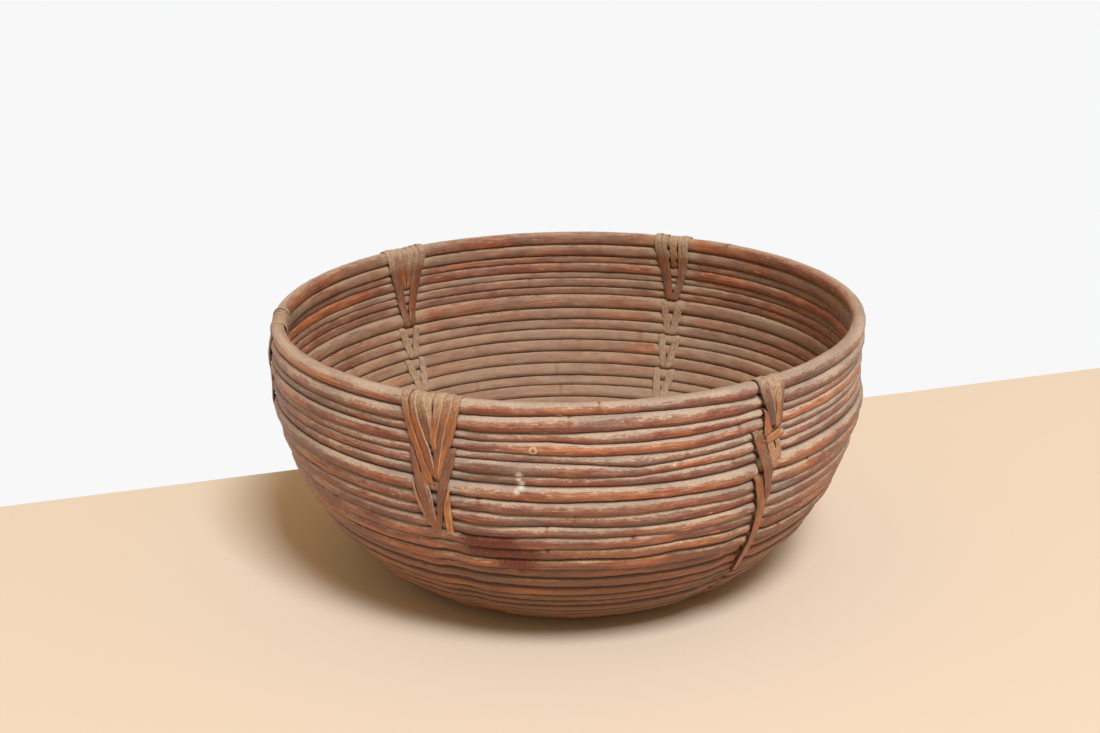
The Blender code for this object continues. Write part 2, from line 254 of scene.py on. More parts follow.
@dataclass
class Shell:
    """A closed surface as arrays: vertices in millimetres, faces, and values for each vertex."""

    points: np.ndarray
    faces: list[list[int]]
    values: dict[str, np.ndarray]

    @staticmethod
    def tube(grid: np.ndarray, values: dict[str, Any]) -> "Shell":
        """Close a grid of rings into a tube with a fan of triangles over each end.

        Ring i is grid[i], and its last point is joined to its first. The faces are turned outwards where
        the volume that they enclose, one sixth of the sum of the triple products of each triangle, comes
        out negative.

        Args:
            grid: points, rings by corners by 3.
            values: for each name, an array that fits rings by corners, or a tuple of three for a vector.

        Returns:
            The closed shell, with both end points put in the middle of their rings.
        """
        rings, corners = grid.shape[:2]

        def closed(rows: np.ndarray) -> np.ndarray:
            """Line up the rows of all rings, then the means of the first ring and the last."""
            return np.concatenate([rows.reshape(rings * corners, -1), [rows[0].mean(0), rows[-1].mean(0)]])

        index = np.arange(rings * corners).reshape(rings, corners)
        after = np.roll(index, -1, axis=1)
        quads = np.stack([index[:-1], after[:-1], after[1:], index[1:]], axis=-1).reshape(-1, 4)
        first = np.full(corners, rings * corners)
        head = np.stack([after[0], index[0], first], axis=1)
        tail = np.stack([index[-1], after[-1], first + 1], axis=1)
        points = closed(grid)
        a, b, c = points[np.concatenate([quads[:, :3], quads[:, [0, 2, 3]], head, tail])].transpose(1, 0, 2)
        if np.einsum("ij,ij->", a, np.cross(b, c)) < 0:
            quads, head, tail = quads[:, ::-1], head[:, ::-1], tail[:, ::-1]
        spread = {name: closed(np.stack([np.broadcast_to(part, (rings, corners)) for part in (
            value if isinstance(value, tuple) else (value,))], -1)) for name, value in values.items()}
        return Shell(points, quads.tolist() + head.tolist() + tail.tolist(), spread)

    @staticmethod
    def joined(shells: list["Shell"]) -> "Shell":
        """Put several shells into one, each still closed by itself.

        Args:
            shells: shells with the same named values.

        Returns:
            One shell with the vertices and faces of all.
        """
        faces, start = [], 0
        for shell in shells:
            faces += [[corner + start for corner in face] for face in shell.faces]
            start += len(shell.points)
        values = {name: np.concatenate([shell.values[name] for shell in shells]) for name in shells[0].values}
        return Shell(np.concatenate([shell.points for shell in shells]), faces, values)

    def piece(self, name: str, material: Any, slot: Slot, *nodes: str) -> None:
        """Make the object of this shell, which rides on the basket's body and stands for CAD nodes.

        Args:
            name: name of the piece.
            material: its finish.
            slot: the record's material slot; not used.
            nodes: CAD nodes that it replaces.
        """
        mesh = bpy.data.meshes.new(name)
        mesh.from_pydata((self.points * MM).tolist(), [], self.faces)
        for key, rows in self.values.items():
            kind, field = ("FLOAT_VECTOR", "vector") if rows.shape[1] == 3 else ("FLOAT", "value")
            mesh.attributes.new(key, kind, "POINT").data.foreach_set(field, rows.astype(np.float32).ravel())
        mesh.update()
        mesh.shade_smooth()
        mesh.materials.append(material)
        item = put(name, mesh)
        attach(item, BODY)
        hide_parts(*nodes)
        LOG.info("%s: %d vertices, %d triangles, stands for %s", name, len(self.points),
                 sum(len(face) - 2 for face in self.faces), ", ".join(nodes))


@dataclass
class Wall:
    """The middle surface of the wall and the base, with the courses of cane that fill it.

    With t running from 0 at the shoulder to 1 at the foot, the radius is the foot's radius plus the rest of
    the wall's radius times (1 - t to the power fullness) to the power 1 / roundness. Above the shoulder the
    wall stands upright, and above the rim it is carried on so that a strip can be led over it.
    """

    foot_radius: float = 87.0
    wall_radius: float = 171.05
    foot_height: float = 3.34
    rim_height: float = 156.05
    shoulder_height: float = 117.0
    above_rim: float = 40.0
    fullness: float = 1.76
    roundness: float = 1.51
    base_radius: float = 78.76
    base_pitch: float = 8.107
    base_height: float = 5.34
    base_turns: int = 9
    base_half: float = 3.35          # half the thickness of the base's cane
    samples: tuple[int, float] = (6000, 0.25)    # on the wall's curve, and the distance between those kept
    line_blur: float = 10.0          # smooths the kept line's direction, in samples
    diameters: tuple[float, ...] = (7.90, 7.60, 4.67, 5.79, 4.18, 5.86, 4.81, 8.23, 7.39, 6.49, 6.76, 6.97, 7.18,
                                    7.18, 5.72, 7.60, 7.81, 6.97, 6.28, 7.11, 6.56, 6.97, 6.28, 6.70, 6.83, 7.00)
    passages: tuple[int, ...] = (4, 7, 11, 13, 14, 16, 17, 19, 20, 22, 23, 25)
    passage_gap: float = 1.44
    course_gap: float = 0.5
    still_azimuth: float = 266.0     # here the courses keep the widths that were measured
    wave_count: int = 6              # waves round the bowl that make up a cane's habits
    wander: float = 0.016            # share by which a cane's thickness wanders along its length
    taper: float = 0.07              # share by which a cane is thicker at one end than half way
    sway: float = 0.30               # how far a cane stands proud of the wall or back from it
    end_share: tuple[float, float] = (0.4, 0.3)  # what the rim's and the foot's cane have of wander and taper
    sag: float = 0.3                 # how far a tight strip follows a thin cane between two thick ones
    # At the left the bowl is out of round: it bulges by so much at these arcs, about an azimuth
    bulge_arcs: tuple[float, ...] = (4.0, 15.0, 22.0, 38.0, 52.0, 72.0)
    bulge_sizes: tuple[float, ...] = (0.0, 2.7, 2.7, 1.5, 0.7, 0.0)
    bulge_azimuth: float = 190.0
    bulge_spread: float = 19.0       # standard deviation of the bell curve, in degrees
    # In front, where the edges between courses 1 and 15 were measured: degrees, and how far each is moved down
    seen_azimuths: tuple[float, ...] = (243.0, 254.1, 257.6, 265.7, 272.8, 281.2, 290.1, 301.0)
    seen_moves: tuple[tuple[float, ...], ...] = (
        (0.0,) * 14,
        (-0.4, 0.7, 0.6, -0.5, -1.3, 0.3, -0.6, -1.3, -1.2, 0.9, 0.6, 0.9, 0.6, 0.3),
        (-0.7, 0.3, 0.1, -0.8, -1.3, 0.2, -0.7, -1.1, -0.5, 0.6, 0.2, 0.6, 0.2, 0.0),
        (-1.6, -0.4, -0.8, -0.3, -1.2, -0.2, -0.2, -0.7, -0.7, -1.0, -1.3, -0.5, -0.6, -0.8),
        (-2.0, -0.7, 0.8, 0.2, 0.1, 0.5, 0.1, -1.0, -0.2, 0.0, -0.6, -0.3, -1.2, -0.8),
        (-2.0, -1.1, 1.1, 0.7, 2.7, 1.2, 0.7, -0.6, -0.3, 1.0, -0.6, 0.0, 0.0, 0.0),
        (-1.3, -0.3, 1.2, 1.2, 1.6, 0.0, 0.8, -0.4, -1.0, 0.7, 0.5, -0.8, -1.6, -0.8),
        (0.0,) * 14)

    def __post_init__(self) -> None:
        """Work out the middle line, the edges between courses and the habits of each cane."""
        share = np.linspace(0, 1, self.samples[0])
        height = self.foot_height + (self.rim_height - self.foot_height) * (1 - share) ** 2
        drop = np.clip((self.shoulder_height - height) / (self.shoulder_height - self.foot_height), 0, 1)
        radius = self.foot_radius + (self.wall_radius - self.foot_radius) * (
            (1 - drop ** self.fullness) ** (1 / self.roundness))
        line = np.concatenate([[[self.wall_radius, self.rim_height + self.above_rim]], np.stack([radius, height], 1),
                               [[self.base_radius, self.base_height], [0.0, self.base_height]]])
        way = way_along(line) - self.above_rim
        self.arc = np.arange(-self.above_rim, way[-1], self.samples[1])
        self.line = np.stack([np.interp(self.arc, way, column) for column in line.T], 1)
        self.tangent = unit(np.gradient(blur(self.line, self.line_blur), axis=0))
        self.normal = np.stack([-self.tangent[:, 1], self.tangent[:, 0]], 1)
        self.foot_arc = float(way[-3])
        self.base_arc = self.foot_arc + math.hypot(self.foot_radius - self.base_radius,
                                                   self.base_height - self.foot_height)
        count = len(self.diameters)
        gaps = np.array([self.passage_gap if course in self.passages else self.course_gap
                         for course in range(1, count)])
        half = np.concatenate([[0], gaps / 2, [0]])
        widths = np.array(self.diameters) + half[:-1] + half[1:]
        self.edges = np.concatenate([[0], np.cumsum(widths)]) - self.diameters[0] / 2
        self.centres = (self.edges[:-1] + self.edges[1:]) / 2
        self.waves = np.arange(self.wave_count) + 1
        shape = (count, self.wave_count)
        chance = np.random.default_rng(SEED)
        self.wave_size = chance.normal(0, self.wander, shape) / np.sqrt(self.waves)
        self.wave_phase = chance.uniform(0, TAU, shape)
        self.taper_size = chance.uniform(-self.taper, self.taper, count)
        self.sway_size = chance.normal(0, self.sway, shape) / self.waves
        self.sway_phase = chance.uniform(0, TAU, shape)
        self.wave_size[[0, -1]] *= self.end_share[0]
        self.taper_size[[0, -1]] *= self.end_share[1]

    def read(self, table: np.ndarray, arc: np.ndarray) -> np.ndarray:
        """Read the radial and the upright part of the line, the tangents or the normals at these arcs."""
        return np.array([np.interp(arc, self.arc, column) for column in table.T])

    def place(self, arc: np.ndarray, rise: np.ndarray, azimuth: np.ndarray, down: Any = 0.0) -> np.ndarray:
        """Turn (arc, rise, azimuth) into points.

        The point on the middle line at this arc is moved out along its normal by the rise and by what the
        bowl bulges here, down along its tangent, and turned about the axis by the azimuth.

        Args:
            arc: ways down the wall.
            rise: distances outwards.
            azimuth: azimuths in radians.
            down: distances straight on from there, square to the normal.

        Returns:
            Points, with the three coordinates on a new last axis.
        """
        out = rise + self.bulge(arc, azimuth)
        radius, height = self.read(self.line, arc) + self.read(self.tangent, arc) * down + (
            self.read(self.normal, arc) * out)
        return spun(radius, azimuth, height)

    def bulge(self, arc: np.ndarray, azimuth: np.ndarray) -> np.ndarray:
        """Give how far the bowl bulges here: the size at this arc times a bell curve of the azimuth."""
        aside = np.degrees(past(azimuth, math.radians(self.bulge_azimuth)))
        return np.interp(arc, self.bulge_arcs, self.bulge_sizes) * bell(aside, self.bulge_spread)

    def radius_at(self, arc: np.ndarray) -> np.ndarray:
        """Give the radius of the middle surface at these arcs."""
        return np.interp(arc, self.arc, self.line[:, 0])

    def turn(self, azimuth: np.ndarray) -> np.ndarray:
        """Give how far round from the seam these azimuths are, from 0 to 1."""
        return ((azimuth - Column.FRONT_RIGHT.azimuth) / TAU) % 1.0

    def swing(self, size: np.ndarray, phase: np.ndarray, azimuth: np.ndarray) -> np.ndarray:
        """Add up each cane's waves round the bowl, size times cosine, into courses by azimuths."""
        return (size[..., None] * np.cos(self.waves[:, None] * azimuth + phase[..., None])).sum(1)

    def habit(self, azimuth: np.ndarray, turn: np.ndarray) -> np.ndarray:
        """Give the share by which each cane is thicker than its mean: its waves and a steady taper."""
        return self.swing(self.wave_size, self.wave_phase, azimuth) + self.taper_size[:, None] * (2 * turn - 1)

    def edges_at(self, azimuth: np.ndarray, turn: np.ndarray) -> np.ndarray:
        """Give the arcs of the edges between courses, where all widths still fill the wall.

        A width is its measured value times (1 + the cane's habit here - its habit at the still azimuth),
        and all are scaled to the same sum. In front, the edges are then moved to where they were measured.

        Args:
            azimuth: azimuths in radians, of n places.
            turn: shares of the way round from the seam.

        Returns:
            Edges by n arcs.
        """
        still = np.array([math.radians(self.still_azimuth)])
        change = self.habit(azimuth, turn) - self.habit(still, self.turn(still))
        widths = np.diff(self.edges)[:, None] * (1 + change)
        widths = widths * np.diff(self.edges).sum() / widths.sum(0)
        edges = np.concatenate([np.zeros((1, len(azimuth))), np.cumsum(widths, 0)]) + self.edges[0]
        degrees = np.degrees(azimuth) % 360
        moves = np.array([np.interp(degrees, self.seen_azimuths, row) for row in zip(*self.seen_moves)])
        edges[1:len(moves) + 1] += moves
        return edges

    def follow(self, arc: np.ndarray, azimuth: float) -> np.ndarray:
        """Move arcs that were given for the measured courses to where the courses lie at an azimuth.

        Args:
            arc: arcs among the measured courses, or past them, where they stay.
            azimuth: the azimuth in radians.

        Returns:
            The moved arcs.
        """
        places = np.array([azimuth])
        here = self.edges_at(places, self.turn(places))[:, 0]
        return np.interp(arc, self.edges, here) + np.minimum(arc - self.edges[0], 0) + np.maximum(
            arc - self.edges[-1], 0)

    def below(self, course: int) -> float:
        """Give the arc of the edge below a course, where 27 and more are the turns of the base."""
        beyond = course - len(self.edges) + 0.5
        return float(self.edges[course]) if beyond < 0 else self.base_arc + beyond * self.base_pitch

    def crest(self, arc: np.ndarray) -> np.ndarray:
        """Give how far the crests of the canes stand from the middle surface, as a tight strip feels them.

        The half widths of the canes are joined by straight lines, after each is raised to no less than the
        mean of its neighbours less the sag.

        Args:
            arc: where to work it out.

        Returns:
            The distances.
        """
        places = np.concatenate([self.centres, self.base_arc + np.arange(self.base_turns) * self.base_pitch])
        halves = np.concatenate([np.diff(self.edges) / 2, np.full(self.base_turns, self.base_half)])
        raised = halves.copy()
        raised[1:-1] = np.maximum(halves[1:-1], (halves[:-2] + halves[2:]) / 2 - self.sag)
        return np.interp(arc, places, raised)


@dataclass
class Hoops:
    """The canes of the wall, each bent to one hoop that ends under the lashing at the front right."""

    wall: Wall
    ring_step: float = 1.45          # length of one stretch of the mesh
    corners: int = 22
    press: float = 0.20              # canes are pressed together: each is wider than its room by this
    squareness: float = 0.74         # below one, the section is a little squarer than an ellipse
    depth: tuple[float, float] = (0.98, 0.05)     # depth over width, and how much less under a lashing
    end_rings: tuple[float, ...] = (0, 0.15, 0.4, 0.8, 1.3, 2.0, 2.8)     # where the rings near an end lie
    end_round: tuple[float, float] = (2.5, 0.55)  # length over which a cut end is rounded off, and to what share
    end_gap: float = 0.5             # between a cane's two ends
    end_drop: tuple[float, float] = (1.2, 5.0)    # how far a cane's first end sits back, and over what length
    left_end_shift: float = 1.3
    give: float = 0.5                # how far a cane gives way under a lashing
    rim_give: float = 0.3            # share of that for the rim, which is thicker
    pinch: tuple[float, float] = (0.1, 0.3)       # how much rounder the rim and the others are under a lashing
    near: float = 3.5                # how far beside a lashing a cane feels it
    rim_groove: float = -0.8         # the rim has no cane above it, so its upper groove ends here
    lowest: tuple[float, float] = (0.0, 0.4)      # height that the foot's cane and the others stay above
    ripple_size: float = 0.06
    ripple_waves: tuple[tuple[float, int], ...] = ((0.21, 1), (0.37, 2), (0.83, 1), (0.13, 3))
    # Half widths of a lashing at these arcs, at a wide column and at the narrow one
    lash_arcs: tuple[float, ...] = (0, 10, 20, 26, 40, 50, 60, 73, 80, 110, 125, 200)
    lash_half: tuple[float, ...] = (16, 14.5, 12.5, 13, 10, 10, 10, 6, 3, 3, 3, 2)
    narrow_half: tuple[float, ...] = (9, 9, 9, 10, 9, 8, 7, 6, 6, 6, 4, 2)
    # The cane's own joints: where the first may be, their spacing, how long one is, and how thick
    joint_first: float = 20.0
    joint_spacing: tuple[float, float] = (210.0, 400.0)
    joint_size: tuple[float, float] = (0.8, 0.03)
    left_end_arcs: tuple[float, ...] = (0.0, 7.1, 14.8, 19.9, 23.7, 27.9, 37.9, 43.8, 51.4, 58.3, 63.2, 68.6, 73.1,
                                        78.8, 85.5, 91.8, 98.0, 103.7, 112.2, 118.7, 126.0, 190.0)
    left_ends: tuple[float, ...] = (-7.5, -3.9, -2.4, -2.1, -2.4, -9.5, -6.6, -4.8, -7.4, -5.6, -3.1, -2.2, -1.4,
                                    -1.1, 0.3, 0.5, -0.1, 0.4, 1.1, 2.2, 6.0, 4.0)
    # How red and how dusty each cane is, from the rim down
    red: tuple[float, ...] = (0.75, 0.45, 0.35, 0.95, 0.30, 0.60, 0.45, 0.50, 0.70, 0.40, 0.60, 0.50, 0.75,
                              0.45, 0.65, 0.40, 0.45, 0.35, 0.45, 0.25, 0.20, 0.35, 0.20, 0.30, 0.35, 0.60)
    dusty: tuple[float, ...] = (0.80, 1.05, 0.85, 0.50, 1.00, 0.70, 0.60, 0.80, 0.65, 0.60, 0.75, 0.60, 0.50,
                                0.70, 0.50, 0.55, 0.45, 0.55, 0.45, 0.50, 0.40, 0.45, 0.40, 0.35, 0.30, 0.25)
    # Painted shade and dirt: how dark the outside of the wall is at these arcs, most on the belly
    shade_and_dirt_arcs: tuple[float, ...] = (0, 75, 100, 125, 190)
    dark: tuple[float, ...] = (0.0, 0.08, 0.50, 0.92, 0.78)
    sheltered_arcs: tuple[float, ...] = (0, 60, 110, 190)
    sheltered: tuple[float, ...] = (0.7, 0.2, -0.2, -0.35)    # how little dust reaches the inside
    drift: tuple[tuple[float, float], ...] = ((0.2, 0.012), (0.12, 0.041), (0.1, 0.09))    # slow waves: size, rate
    lean: tuple[float, float] = (0.55, 0.45)      # dust: how far a corner looks up, and how high it is
    inner_lean: float = 0.5          # share of that which is lost on the inside
    lash_dust: float = 0.45          # more dust beside a lashing
    drift_dust: float = 0.5          # less dust where the slow waves make a cane redder
    joint_dark: float = 0.45         # how dark the ring at a joint is
    cut: tuple[float, float] = (0.8, 1.3)         # how pale the last end is, and over what length
    inside_edge: tuple[float, float] = (-0.05, 0.3)    # between these a corner turns into the bowl
    # Marks in the caked dirt: azimuth in degrees, arc, width across and down, and strength
    stains: tuple[tuple[float, float, float, float, float], ...] = (
        (255.5, 83.0, 15.0, 7.0, 1.0), (259.0, 91.0, 10.0, 5.0, 0.9), (251.5, 79.0, 7.0, 3.5, 0.8),
        (262.0, 86.0, 6.0, 3.0, 0.7), (282.0, 139.0, 16.0, 5.0, 0.4), (225.0, 60.0, 14.0, 5.0, 0.25),
        (150.0, 88.0, 18.0, 6.0, 0.5), (20.0, 70.0, 16.0, 6.0, 0.4))

    def build(self, material: Any) -> None:
        """Make the piece of every course.

        Args:
            material: the canes' finish.
        """
        count = len(self.wall.diameters)
        names = {1: ("rim_cane", "rim_hoop"), count: ("foot_cane", "foot_hoop")}
        for course in range(1, count + 1):
            name, node = names.get(course, ("wall_cane_%02d" % course, "hoop_%02d" % course))
            self.cane(course).piece(name, material, Slot.CANE, node)

    def rings(self, course: int) -> tuple[np.ndarray, np.ndarray, np.ndarray]:
        """Spread rings along a cane, closer where its ends are rounded.

        Args:
            course: number of the course, from 1 at the rim.

        Returns:
            Azimuth of each ring, its distance to the nearer end, and its share of the way round.
        """
        arc = self.wall.centres[course - 1]
        radius = float(self.wall.radius_at(arc))
        across = float(np.interp(arc, self.left_end_arcs, self.left_ends)) + self.left_end_shift
        length = TAU * radius - self.end_gap
        fine, first = np.array(self.end_rings[:-1]), self.end_rings[-1]
        middle = np.linspace(first, length - first, int(length / self.ring_step))
        along = np.concatenate([fine, middle, length - fine[::-1]])
        azimuth = Column.FRONT_RIGHT.azimuth + across / radius + (self.end_gap + along) / radius
        return azimuth, np.minimum(along, length - along), along / length

    def nearness(self, arc: np.ndarray, azimuth: np.ndarray) -> np.ndarray:
        """Give 1 under a lashing and a bell curve beyond its edges.

        Args:
            arc: arcs of the places.
            azimuth: azimuths of the same places.

        Returns:
            The values from 0 to 1.
        """
        near = np.zeros_like(azimuth)
        for column in Column:
            half = self.narrow_half if column is Column.FRONT_RIGHT else self.lash_half
            aside = past(azimuth, column.azimuth) * self.wall.radius_at(arc)
            beyond = np.maximum(np.abs(aside) - np.interp(arc, self.lash_arcs, half), 0)
            near = np.maximum(near, bell(beyond, self.near))
        return near

    def stain(self, arc: np.ndarray, azimuth: np.ndarray) -> np.ndarray:
        """Give how caked the dirt is: the strongest of the stains' bell curves.

        Args:
            arc: arcs of the places.
            azimuth: azimuths of the same places.

        Returns:
            The values from 0 to 1.
        """
        stain = np.zeros_like(arc)
        for middle, down, wide, tall, strength in self.stains:
            aside = past(azimuth, math.radians(middle)) * self.wall.radius_at(arc)
            stain = np.maximum(stain, strength * bell(aside, wide) * bell(arc - down, tall))
        return stain

    def cane(self, course: int) -> Shell:
        """Sweep a rounded section along one hoop, and work out what the finish reads at each vertex.

        The section is a superellipse: half width times sine and half depth times cosine, each to the power
        squareness. Its half width is half of what the edges leave and the press. Near a lashing it is
        pinched, rounder, and set back. A slow ripple, a ring at each joint of the cane, and the rounding of
        the ends act on both. The finish reads the place on the straightened cane in metres, how far a
        corner looks up, where it is from the upper groove at -1 to the lower at 1, the cut end, the stain,
        whether it looks into the bowl, and the cane's tint as (red, dusty, dark).

        Args:
            course: number of the course, from 1 at the rim.

        Returns:
            The closed cane.
        """
        wall, rim = self.wall, course == 1
        chance = np.random.default_rng(SEED + course)
        azimuth, to_end, turn = self.rings(course)
        upper, lower = wall.edges_at(azimuth, turn)[course - 1:course + 1, :, None]
        back = wall.swing(wall.sway_size, wall.sway_phase, azimuth)[course - 1, :, None]
        azimuth, to_end, turn = azimuth[:, None], to_end[:, None], turn[:, None]
        arc, room = (upper + lower) / 2, (lower - upper) / 2
        along = turn * TAU * float(wall.radius_at(wall.centres[course - 1]))
        near = self.nearness(arc, azimuth)
        give = self.give * near * (self.rim_give if rim else 1.0)
        rise = back - give - self.end_drop[0] * (1 - smooth_step(0.0, self.end_drop[1], along))

        joints = [chance.uniform(self.joint_first, self.joint_spacing[1])]
        while joints[-1] < along[-1]:
            joints.append(joints[-1] + chance.uniform(*self.joint_spacing))
        ring = sum((bell(along - joint, self.joint_size[0]) for joint in joints[:-1]), np.zeros_like(along))
        swell = 1 + self.joint_size[1] * ring
        rounding = rounded(to_end, *self.end_round)

        power = self.squareness + self.pinch[not rim] * near
        corner, sine, cosine = section(self.corners, power, power)
        uneven = ripple(chance, self.ripple_size, self.ripple_waves, along, corner)
        wide = ((room + self.press / 2) * swell + uneven * RIPPLE_ACROSS) * rounding * sine
        deep = (room * (self.depth[0] - self.depth[1] * near) * swell + uneven) * rounding * cosine
        grid = wall.place(arc, rise + deep, azimuth, wide)
        grid[..., 2] = np.maximum(grid[..., 2], self.lowest[course < len(wall.diameters)])

        start = chance.uniform(0, 9, 3)
        tangent, normal = wall.read(wall.tangent, arc)[1], wall.read(wall.normal, arc)[1]
        upward = self.lean[0] * (tangent * sine + normal * cosine) - self.lean[1] * sine
        groove = np.maximum(np.sin(corner), self.rim_groove if rim else -1.0)
        late = self.cut[0] * (along > along[-1] / 2) * (1 - smooth_step(0.0, self.cut[1], to_end))
        drift = sum(size * np.sin(along * rate + chance.uniform(*PHASE)) for size, rate in self.drift)
        sheltered = np.interp(arc, self.sheltered_arcs, self.sheltered) * (cosine < 0)
        dusty = self.dusty[course - 1] + self.lash_dust * near - self.drift_dust * drift - sheltered
        # Painted shade and dirt on the outside of the belly, and a dark ring at each joint of the cane
        dark = np.interp(arc, self.shade_and_dirt_arcs, self.dark) * (cosine > -0.2) + self.joint_dark * ring
        return Shell.tube(grid, {
            "cane_place": (along * MM + start[0], wide * MM + start[1], deep * MM + start[2]),
            "upward": upward * (1 - self.inner_lean * smooth_step(0.1, 0.5, -cosine)), "groove": groove,
            "cut_end": late, "stain": self.stain(arc, azimuth) * (cosine > 0),
            "inside": smooth_step(*self.inside_edge, -cosine), "tint": (self.red[course - 1] + drift, dusty, dark)})


@dataclass
class BaseCoil:
    """The base: one unbroken cane wound inwards, each outer turn stepping in by its pitch near the seam."""

    wall: Wall
    rings_per_turn: int = 300
    corners: int = 16
    press: float = 0.3
    squareness: float = 0.9
    jog_share: float = 0.12          # share of a turn over which an outer turn steps inwards
    polygon_mean: float = 0.996      # the solid has straight stretches, and this lies midway in and out of them
    start_lag: float = 7.5           # degrees that the coil starts before the seam
    end_round: tuple[float, float] = (6.0, 0.5)
    lowest: float = 1.2
    slim_start: tuple[float, float] = (0.96, 0.4)    # share of the width at the start, and turns until it is full
    sway: tuple[tuple[float, float, float], ...] = ((0.18, 3.3, 0.0), (0.15, 1.7, 1.0))    # size, rate, phase
    red: tuple[float, float, float] = (0.5, 0.15, 0.013)    # its mean, and the size and rate of its wave
    dusty: float = 0.95
    inside: float = 0.4              # how far the dust of the bowl's inside reaches it
    start: tuple[float, float] = (3.0, 5.0)       # shifts the noises' pattern
    radius_blur: float = 5.0         # smooths the step inwards, in rings
    pale_end: float = 0.6            # length over which a cut end shows
    ripple_size: float = 0.07
    ripple_waves: tuple[tuple[float, int], ...] = ((0.19, 1), (0.41, 2), (0.09, 1))

    def build(self, material: Any) -> None:
        """Make the coil's piece in the base cane's finish."""
        self.coil().piece("base_coil_cane", material, Slot.BASE_CANE, "base_coil")

    def coil(self) -> Shell:
        """Sweep the cane along the coil.

        After so many turns, the radius is the outer radius less the pitch times (whole turns + the rest of
        the turn, evenly towards the middle and late in the turn near the outside).

        Returns:
            The closed cane.
        """
        wall, turns = self.wall, self.wall.base_turns
        chance = np.random.default_rng(SEED + 100)
        turned = np.linspace(0, turns, turns * self.rings_per_turn)
        whole = np.minimum(np.floor(turned), turns - 1)
        rest = turned - whole
        late = smooth_step(1 - self.jog_share, 1, rest)
        blend = 1 - whole / turns
        radius = wall.base_radius - wall.base_pitch * (whole + (1 - blend) * rest + blend * late)
        radius = blur(radius[:, None], self.radius_blur) * self.polygon_mean
        azimuth = (Column.FRONT_RIGHT.azimuth - math.radians(self.start_lag) + turned * TAU)[:, None]
        steps = np.hypot(np.diff(radius, axis=0), radius[1:] * np.diff(azimuth, axis=0))
        along = np.concatenate([[[0]], np.cumsum(steps, 0)])
        to_end = np.minimum(along, along[-1] - along)
        rounding = rounded(to_end, *self.end_round)
        corner, sine, cosine = section(self.corners, self.squareness, self.squareness)
        slim, full = self.slim_start
        half = (wall.base_pitch + self.press) / 2 * np.interp(turned, [0, full], [slim, 1])[:, None]
        uneven = ripple(chance, self.ripple_size, self.ripple_waves, along, corner)
        wide = (half + uneven * RIPPLE_ACROSS) * rounding * sine
        deep = (wall.base_half + uneven) * rounding * cosine
        sway = sum(size * np.sin(azimuth * rate + phase) for size, rate, phase in self.sway)
        red, size, rate = self.red
        height = np.maximum(wall.base_height + deep + sway, self.lowest)
        return Shell.tube(spun(radius - wide, azimuth, height), {
            "cane_place": (along * MM, wide * MM + self.start[0], deep * MM + self.start[1]), "upward": cosine,
            "groove": np.sin(corner), "cut_end": 1 - smooth_step(0.0, self.pale_end, to_end), "stain": 0.0,
            "inside": self.inside, "tint": (red + size * np.sin(along * rate), self.dusty, 0.0)})


# Lashings


@dataclass(frozen=True)
class Run:
    """One stretch of a strip on one side of the wall, as knots of (arc, across, width)."""

    side: Side
    knots: Knots
    lift: float = 0.0                # how far it lies above the canes, on other strips
    bow: float = 0.0                 # how far it stands off half way, where it is slack


@dataclass(frozen=True)
class Strip:
    """A split cane: one run, or two that are joined over the rim. Its ends are drawn into the wall."""

    runs: tuple[Run, ...]
    tilt: float = 0.0                # degrees by which it lies on its neighbour's edge
    brown: float = 0.5               # from pale orange 0 to brown 1
    dusty: float = 0.5
    rub: int = 0                     # which edge is rubbed pale: -1 towards smaller azimuths, 1 larger, 0 none
    grey: float = 0.3                # how weathered it is
    free: bool = False               # its last end is cut off and left lying


def lying(knots: Knots, lift: float, **looks: Any) -> Strip:
    """Plan a strip that lies on the outside only."""
    return Strip((Run(Side.OUTSIDE, knots, lift),), **looks)


def mirrored(strip: Strip) -> Strip:
    """Give a strip turned left for right."""
    runs = tuple(replace(run, knots=tuple((arc, -across, width) for arc, across, width in run.knots))
                 for run in strip.runs)
    return replace(strip, runs=runs, tilt=-strip.tilt, rub=-strip.rub)


